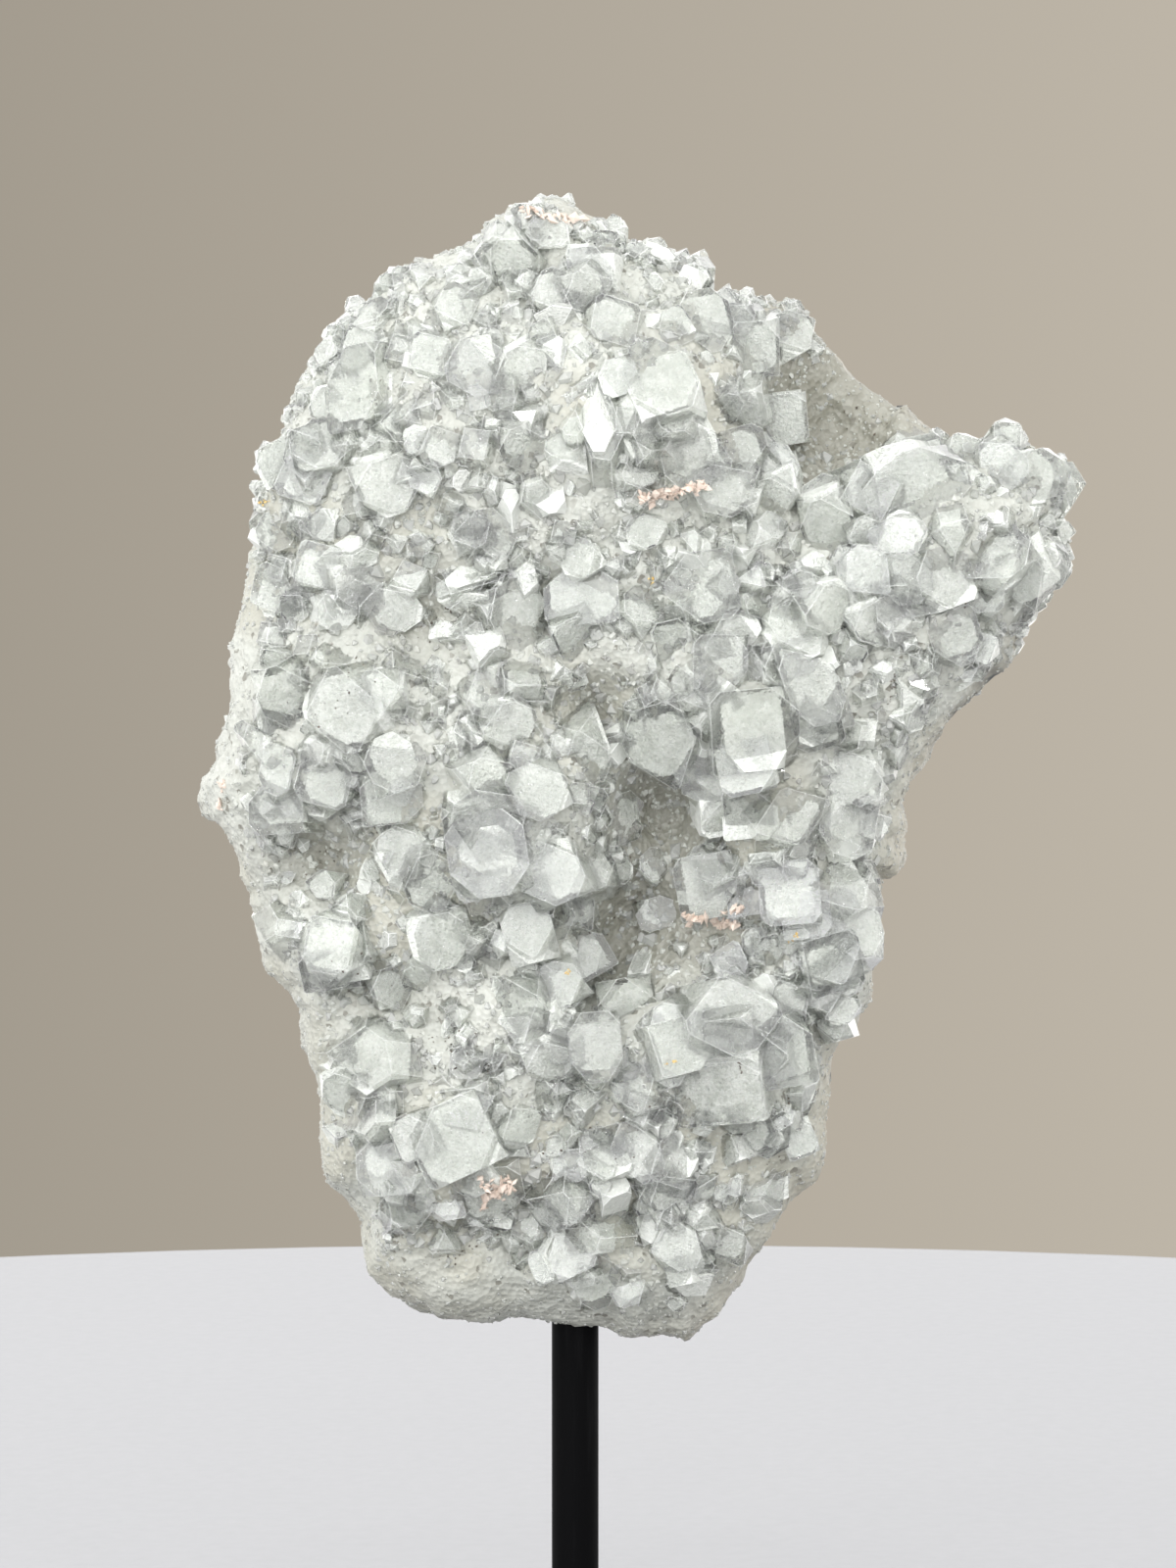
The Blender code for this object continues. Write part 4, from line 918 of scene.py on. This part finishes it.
# %% Wires and finishes
class Wire:
    """A socket of a finish. Sums, differences and products of wires and numbers add Math nodes."""

    def __init__(self, finish, socket):
        self.finish, self.socket = finish, socket

    def maths(self, step, first, second):
        return self.finish.node("Math", {"operation": step}, {0: first, 1: second})

    def __add__(self, other):
        return self.maths("ADD", self, other)

    def __mul__(self, other):
        return self.maths("MULTIPLY", self, other)

    def __sub__(self, other):
        return self.maths("SUBTRACT", self, other)

    def __rsub__(self, other):
        return self.maths("SUBTRACT", other, self)

    def __pow__(self, other):
        return self.maths("POWER", self, other)

    __radd__, __rmul__ = __add__, __mul__

    def over(self, low, high):
        """0 where the wire is under low, 1 over high, and a straight rise between."""
        return self.finish.node("MapRange", {}, {"Value": self, "From Min": low, "From Max": high})


class Finish:
    """A new material of a given name, or another owner of nodes, built from an empty node tree."""

    def __init__(self, name, owner=None):
        self.material = owner or bpy.data.materials.new(name)
        self.material.use_nodes = True
        self.tree = self.material.node_tree
        self.tree.nodes.clear()

    def node(self, kind, settings=None, sockets=None, result=0):
        """Adds a node: its settings first, then a value or a wire for each socket that is named."""
        made = self.tree.nodes.new("ShaderNode" + kind)
        for key, value in (settings or {}).items():
            setattr(made, key, value)
        for key, value in (sockets or {}).items():
            if isinstance(value, Wire):
                self.tree.links.new(value.socket, made.inputs[key])
            else:
                made.inputs[key].default_value = value
        return Wire(self, made.outputs[result])

    def place(self):
        return self.node("TexCoord", result="Object")

    def note(self, name, result="Fac"):
        return self.node("Attribute", {"attribute_name": name}, result=result)

    def noise(self, place, scale, detail=3.0, rough=0.55):
        return self.node("TexNoise", {}, {"Vector": place, "Scale": scale, "Detail": detail,
                                          "Roughness": rough})

    def stretch(self, place, scale):
        return self.node("VectorMath", {"operation": "MULTIPLY"}, {0: place, 1: scale})

    def blend(self, share, low, high):
        """A mix of two colours, each a wire or three numbers."""
        low, high = (tint if isinstance(tint, Wire) else (*tint, 1.0) for tint in (low, high))
        return self.node("Mix", {"data_type": "RGBA"}, {0: share, 6: low, 7: high}, 2)

    def bump(self, height, depth):
        """A bump whose height runs from 0 to 1 over a depth in metres."""
        return self.node("Bump", {}, {"Height": height, "Distance": depth, "Strength": 1.0})

    def surface(self, sockets, volume=None):
        shader = self.node("BsdfPrincipled", {}, sockets)
        out = self.tree.nodes.new("ShaderNodeOutputMaterial")
        self.tree.links.new(shader.socket, out.inputs["Surface"])
        if volume:
            self.tree.links.new(volume.socket, out.inputs["Volume"])
        return self.material


# %% [markdown]
# ## Finish of the rock
#
# Between the crystals the rock is a sugar of tiny grains: off-white with a breath of green, peppered with
# dark specks. Painted shade makes it greyer in the hollows and the upper right valley, darker and warmer
# down the right-hand flanks, and dark like basalt on one spot of the right side wall. Its broken back is
# blue-grey basalt with pale pockets. One finish does all, because the points carry notes of how much
# painted shade they get and how stony they are.

# %% Rock
def rock_finish():
    f = Finish("sugary matrix and basalt")
    place = f.place()
    grit = f.node("TexVoronoi", {}, {"Vector": place, "Scale": 1000.0})
    grain = f.node("SeparateColor", {}, {"Color": Wire(f, grit.socket.node.outputs["Color"])})
    fine = f.noise(place, 330.0, 3.0)
    pale = f.blend(f.note("mottle"), (0.41, 0.42, 0.38), (0.50, 0.51, 0.465))
    pale = f.blend(f.note("patch"), pale, (0.41, 0.405, 0.345))
    # Painted shade with warm reflected light: the right-hand flanks are darker and warmer.
    pale = f.blend(f.note("flank_shade") * 0.8, pale, (0.38, 0.35, 0.28))
    # Painted shade: the hollows and the valley are darkened to an olive grey.
    pale = f.blend(f.note("hollow_shade") * 0.85, pale, (0.20, 0.197, 0.16))
    pale = f.blend((grain * 0.5 + fine * 0.5).over(0.3, 0.7) * 0.4, pale, (0.38, 0.38, 0.335))
    pale = f.blend(grain.over(0.955, 0.965) * fine.over(0.42, 0.5) * 0.7, pale, (0.13, 0.12, 0.095))
    stone = f.blend((fine * 0.6 + grain * 0.4).over(0.38, 0.64), (0.036, 0.04, 0.043), (0.11, 0.11, 0.105))
    stone = f.blend(f.note("mottle") * 0.3, stone, (0.11, 0.098, 0.08))
    stone = f.blend(f.note("patch") * fine.over(0.4, 0.6), stone, (0.34, 0.33, 0.28))
    colour = f.blend(f.note("stone"), pale, stone)
    rough = 0.42 + 0.3 * f.note("stone")
    return f.surface({"Base Color": colour, "Roughness": rough, "Normal": f.bump(grit, 0.0003), "IOR": 1.5})


rock.data.materials.append(rock_finish())

# %% [markdown]
# ## Finish of the crystals
#
# Apophyllite is glass with faults. Growth lines run down its side faces, its faces have shallow pits
# and dull patches, and haze makes some of it milky. There are two recipes: clear glass, and a milky one
# that also serves the cloudy cores. The glass bends light less than the mineral does, because so many
# closed shells lie over each other that true values came out too dark. A hard coat gives back the shine
# of the faces. Patterns follow each crystal, because every point carries its place on its own crystal.

# %% Glass and milk
def glass_finish(name, relief):
    """Clear crystal: growth lines along the sides, shallow pits, and patches that are etched dull."""
    f = Finish(name)
    own = f.note("own", "Vector")
    cloud = f.noise(own, 0.42, 2.0, 0.6)
    grain = f.noise(f.stretch(own, (1.6, 1.6, 0.5)), 1.0, 1.0)
    colour = f.blend(f.note("tone"), (0.945, 0.96, 0.935), (0.985, 0.99, 0.98))
    rough = 0.16 * cloud.over(0.52, 0.66)
    absorb = f.node("VolumeAbsorption", {}, {"Color": (0.90, 0.93, 0.84, 1.0), "Density": 40.0})
    return f.surface({"Base Color": colour, "Roughness": rough, "Normal": f.bump(grain, relief),
                      "Transmission Weight": 1.0, "IOR": 1.3, "Coat Weight": 1.0, "Coat Roughness": 0.01,
                      "Coat IOR": 1.75}, absorb)


def milk_finish(name, dull, relief, gloss, dark, pale):
    """Milky crystal or cloudy core: soft clouds and grain that follow the crystal's own axes, in mm."""
    f = Finish(name)
    own = f.note("own", "Vector")
    cloud = f.noise(own, 0.38, 2.0, 0.6)
    grain = f.noise(own, 1.7, 2.0, 0.7)
    colour = f.blend((cloud * 0.5 + grain * 0.5).over(0.42, 0.58), dark, pale)
    colour = f.blend(f.note("facet") * 0.5, colour, dark)
    colour = f.blend(f.note("tone") * 0.35, colour, dark)
    rough = dull + 0.22 * grain.over(0.5, 0.65)
    return f.surface({"Base Color": colour, "Roughness": rough, "Normal": f.bump(grain, relief),
                      "Specular IOR Level": gloss})


GLASS_RELIEF = {"clear": 0.00022, "veiled": 0.00035}
for name, relief in GLASS_RELIEF.items():
    crystals[name].data.materials.append(glass_finish(name + " apophyllite", relief))
# Roughness, relief in metres, gloss, darker and paler colour
MILK = {"milky": (0.06, 0.0002, 0.5, (0.50, 0.515, 0.48), (0.60, 0.61, 0.575)),
        "frosted": (0.18, 0.0005, 0.4, (0.44, 0.45, 0.42), (0.56, 0.57, 0.535))}
for name, look in MILK.items():
    crystals[name].data.materials.append(milk_finish(name + " apophyllite", *look))


def grain_finish(name, see, dull, dark, pale):
    """Grains in tones between two colours, faintly rough."""
    f = Finish(name)
    place = f.place()
    tone = f.note("tone")
    colour = f.blend(tone ** 0.7, dark, pale)
    colour = f.blend(f.noise(place, 70.0).over(0.5, 0.75) * 0.5, colour, (0.45, 0.44, 0.385))
    height = f.noise(place, 2500.0, 2.0)
    return f.surface({"Base Color": colour, "Roughness": dull + 0.25 * tone,
                      "Normal": f.bump(height, 0.00008), "Transmission Weight": see, "IOR": 1.535})


GRAIN_LOOKS = (("sugar grains", 0.0, 0.25, (0.37, 0.38, 0.345), (0.49, 0.50, 0.46)),
               ("glass grains", 0.6, 0.05, (0.66, 0.68, 0.63), (0.82, 0.83, 0.80)))
for piece, look in zip(grains, GRAIN_LOOKS):
    piece.data.materials.append(grain_finish(*look))


CLOUDS = ((0.3, 0.0008, 0.3, (0.64, 0.66, 0.61), (0.88, 0.89, 0.855)),
          (0.3, 0.0006, 0.3, (0.60, 0.62, 0.57), (0.86, 0.87, 0.835)))
for root, look in zip(roots, CLOUDS):
    root.data.materials.append(milk_finish("cloud of " + root.name, *look))


def edge_finish():
    """Painted highlight along the crystal edges: the bevel faces are near-white, varied by noise."""
    f = Finish("painted edge highlights")
    chips = f.noise(f.note("own", "Vector"), 1.8, 2.0)
    # Painted highlight: the edge colour runs from light grey to near-white along the noise.
    colour = f.blend(chips, (0.80, 0.81, 0.79), (0.98, 0.985, 0.97))
    return f.surface({"Base Color": colour, "Roughness": 0.1 + 0.25 * chips, "Specular IOR Level": 0.6})


edge_highlight_finish = edge_finish()
for piece in crystals.values():
    piece.data.materials.append(edge_highlight_finish)


def veil_finish():
    f = Finish("bubble veils")
    colour = f.blend(f.note("tone"), (0.78, 0.80, 0.78), (0.95, 0.96, 0.95))
    return f.surface({"Base Color": colour, "Roughness": 0.4 + 0.2 * f.noise(f.place(), 900.0)})


veils.data.materials.append(veil_finish())


def inclusion_finish(name, dark, pale, rough):
    f = Finish(name)
    colour = f.blend(f.note("tone") * 0.6 + f.noise(f.place(), 700.0) * 0.4, dark, pale)
    return f.surface({"Base Color": colour, "Roughness": rough + 0.2 * f.note("tone"), "IOR": 1.5})


TINTS = {"stilbite_blades": ((0.62, 0.50, 0.42), (0.74, 0.64, 0.56), 0.25),
         # Yellow of the specks that are painted refraction glints
         "painted_yellow_glints": ((0.62, 0.40, 0.10), (0.76, 0.60, 0.28), 0.3),
         "dark_specks": ((0.03, 0.022, 0.016), (0.14, 0.11, 0.08), 0.4)}
for name, look in TINTS.items():
    inclusions[name].data.materials.append(inclusion_finish(name.replace("_", " "), *look))

# %% [markdown]
# ## The stand
#
# The post is a rod painted satin black, with faint upright streaks that are partly rubbed paint and partly
# painted highlight streaks. The plate has a fine powder grain. Both are the CAD parts, whose shape is
# right, so only their finish is made.

# %% Post and plate
def rod_finish():
    f = Finish("satin black rod")
    place = f.place()
    rub_and_sheen = f.noise(f.stretch(place, (900.0, 900.0, 40.0)), 1.0, 3.0)
    dust = f.noise(place, 220.0, 4.0)
    # Upright lighter streaks: partly rubbed paint, partly painted highlight streaks
    colour = f.blend(rub_and_sheen.over(0.55, 0.75) * 0.5, (0.0025, 0.0025, 0.0028), (0.009, 0.009, 0.0095))
    height = rub_and_sheen * 0.6 + f.noise(place, 1800.0, 2.0) * 0.4
    return f.surface({"Base Color": colour, "Roughness": 0.42 + 0.2 * dust, "Specular IOR Level": 0.03,
                      "Normal": f.bump(height, 0.00006)})


def plate_finish():
    f = Finish("powder black plate")
    place = f.place()
    grain = f.noise(place, 1600.0, 3.0)
    wear = f.noise(place, 30.0, 5.0)
    colour = f.blend(wear.over(0.45, 0.75) * 0.5, (0.005, 0.005, 0.0055), (0.016, 0.016, 0.0165))
    return f.surface({"Base Color": colour, "Roughness": 0.42 + 0.2 * wear, "Specular IOR Level": 0.2,
                      "Normal": f.bump(grain, 0.00012)})


def repaint(node, material):
    """Gives a CAD node another material in all its slots."""
    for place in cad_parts[node].material_slots:
        place.material = material


repaint("stand_post", rod_finish())
repaint("stand_base", plate_finish())

# %% [markdown]
# ## Where each piece belongs
#
# The rock and all that grows on it is one stone, so every piece rides on the one body. The plain CAD
# cluster stays for physics and isn't shown.

# %% Rides
stone_pieces = [rock, *crystals.values(), *roots, *grains, veils, *inclusions.values()]
for piece in stone_pieces:
    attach(piece, "root")
    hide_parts("crystal_cluster")

# %% [markdown]
# ## Table, light and camera
#
# A pale round table top and a soft warm surround stand for the studio. Glass shows what is around it,
# so the surround is brighter where a window would be, on the left in front, and eight small lamps give
# the glints. The camera itself sees a darker room than the one that lights the stone, so that the
# backdrop stays calm behind it. The camera has a long lens, as such close views have.

# %% Table top
# Rings from the middle over the rounded lip and back underneath: radius and height in metres
RING_RADIUS = np.array((0.0001, 0.3, 0.55, 0.60, 0.618, 0.62, 0.615, 0.3, 0.0001))
RING_HEIGHT = np.array((0, 0, 0, -0.0001, -0.002, -0.008, -0.02, -0.02, -0.02))
TABLE_DROP = 0.2


def table_top():
    """A disc as rings of points, with a rounded lip going down, a hair below the plate."""
    around = np.linspace(0, TURN, 97)[:-1]
    radius = RING_RADIUS / MM
    height = RING_HEIGHT / MM - TABLE_DROP
    points = np.stack([radius[:, None] * np.cos(around), radius[:, None] * np.sin(around),
                       height[:, None] + 0 * around], -1)
    index = np.arange(points[..., 0].size).reshape(points.shape[:2])
    ahead = np.roll(index, -1, axis=1)
    quads = np.stack([index[:-1], index[1:], ahead[1:], ahead[:-1]], -1).reshape(-1, 4)
    return make_piece("table_top", points.reshape(-1, 3), [quads], smooth=True)


def table_finish():
    f = Finish("pale table")
    place = f.place()
    fleck = f.noise(place, 260.0, 4.0)
    colour = f.blend(fleck, (0.34, 0.34, 0.347), (0.38, 0.38, 0.388))
    return f.surface({"Base Color": colour, "Roughness": 0.55, "Normal": f.bump(fleck, 0.0001)})


table = table_top()
table.data.materials.append(table_finish())
table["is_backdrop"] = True

# %% Surround
world = bpy.data.worlds.new("surround")
bpy.context.scene.world = world


def soft_surround():
    """An even pale sky with a broad bright patch on the left in front, and a warm grey room to look at."""
    f = Finish("surround", world)
    way = f.node("TexCoord", result="Generated")
    toward = f.node("VectorMath", {"operation": "DOT_PRODUCT"}, {0: way, 1: (-0.35, -0.90, 0.26)}, "Value")
    split = f.node("SeparateXYZ", {}, {0: way})
    up = f.node("SeparateXYZ", {}, {0: way}, "Z")
    room = f.blend(split.over(-0.28, 0.28), (0.28, 0.25, 0.205), (0.60, 0.545, 0.46))
    sky = f.blend(up.over(-0.5, 0.8), (1.42, 1.39, 1.34), (1.44, 1.44, 1.455))
    lit = f.blend(toward.over(-0.1, 0.85), sky, (2.0, 2.01, 2.03))
    lit = f.blend(toward.over(0.9, 0.96), lit, (3.3, 3.33, 3.38))
    seen = f.node("LightPath", {}, {}, "Is Camera Ray")
    glow = f.node("Background", {}, {"Color": f.blend(seen, lit, room), "Strength": 1.0})
    out = f.tree.nodes.new("ShaderNodeOutputWorld")
    f.tree.links.new(glow.socket, out.inputs["Surface"])


soft_surround()


# %% Lamp and camera
def aim(item, target):
    """Turns an object's -Z towards a point."""
    item.rotation_euler = (Vector(target) - item.location).to_track_quat("-Z", "Y").to_euler()


def lamp(name, place, target, size, power, tint):
    """A small rectangular lamp that faces a target."""
    light = bpy.data.lights.new(name, "AREA")
    light.shape = "RECTANGLE"
    light.size, light.size_y = size
    light.energy = power
    light.color = tint
    item = bpy.data.objects.new(name, light)
    bpy.context.scene.collection.objects.link(item)
    item.location = place
    aim(item, target)


MIDDLE = (VIEW_CENTRE[0] * MM, 0.0, VIEW_CENTRE[1] * MM)
# Turn to the right of the view, rise above it, both in degrees, and power in watts
PANES = ((-50, 35, 0.9), (-26, 46, 0.8), (-14, 20, 0.7), (14, 38, 0.7),
         (38, 22, 0.7), (-38, 8, 0.7), (-62, 18, 0.9), (2, 55, 0.7))
PANE_DISTANCE = 1.4
PANE_SIZE = (0.06, 0.07)
for number, (turn, rise, power) in enumerate(PANES):
    turn, rise = math.radians(turn), math.radians(rise)
    way = np.array((math.cos(rise) * math.sin(turn), -math.cos(rise) * math.cos(turn), math.sin(rise)))
    lamp(f"pane_{number}", np.array(MIDDLE) + PANE_DISTANCE * way, MIDDLE, PANE_SIZE, power,
         (1.0, 0.99, 0.975))

lens = bpy.data.cameras.new("camera")
lens.sensor_width = 36.0
# Height of the picture on the post's plane, in mm
FRAME_HEIGHT = 800.0 / 3
lens.lens = lens.sensor_width * VIEW_DISTANCE / FRAME_HEIGHT
lens.clip_start, lens.clip_end = 0.05, 50.0
camera = bpy.data.objects.new("camera", lens)
bpy.context.scene.collection.objects.link(camera)
camera.location = EYE * MM
aim(camera, MIDDLE)
bpy.context.scene.camera = camera
bpy.context.scene.view_settings.view_transform = "Standard"

# %% [markdown]
#
# The crystals may stand a little proud of the plain CAD solid. Both boxes are printed.

# %% Print both boxes
new_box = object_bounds()
sizes = {"cad": [list(corner) for corner in cad_box], "visual": [list(corner) for corner in new_box]}
for name, box in sizes.items():
    print(name, [[round(part / MM, 1) for part in corner] for corner in box])
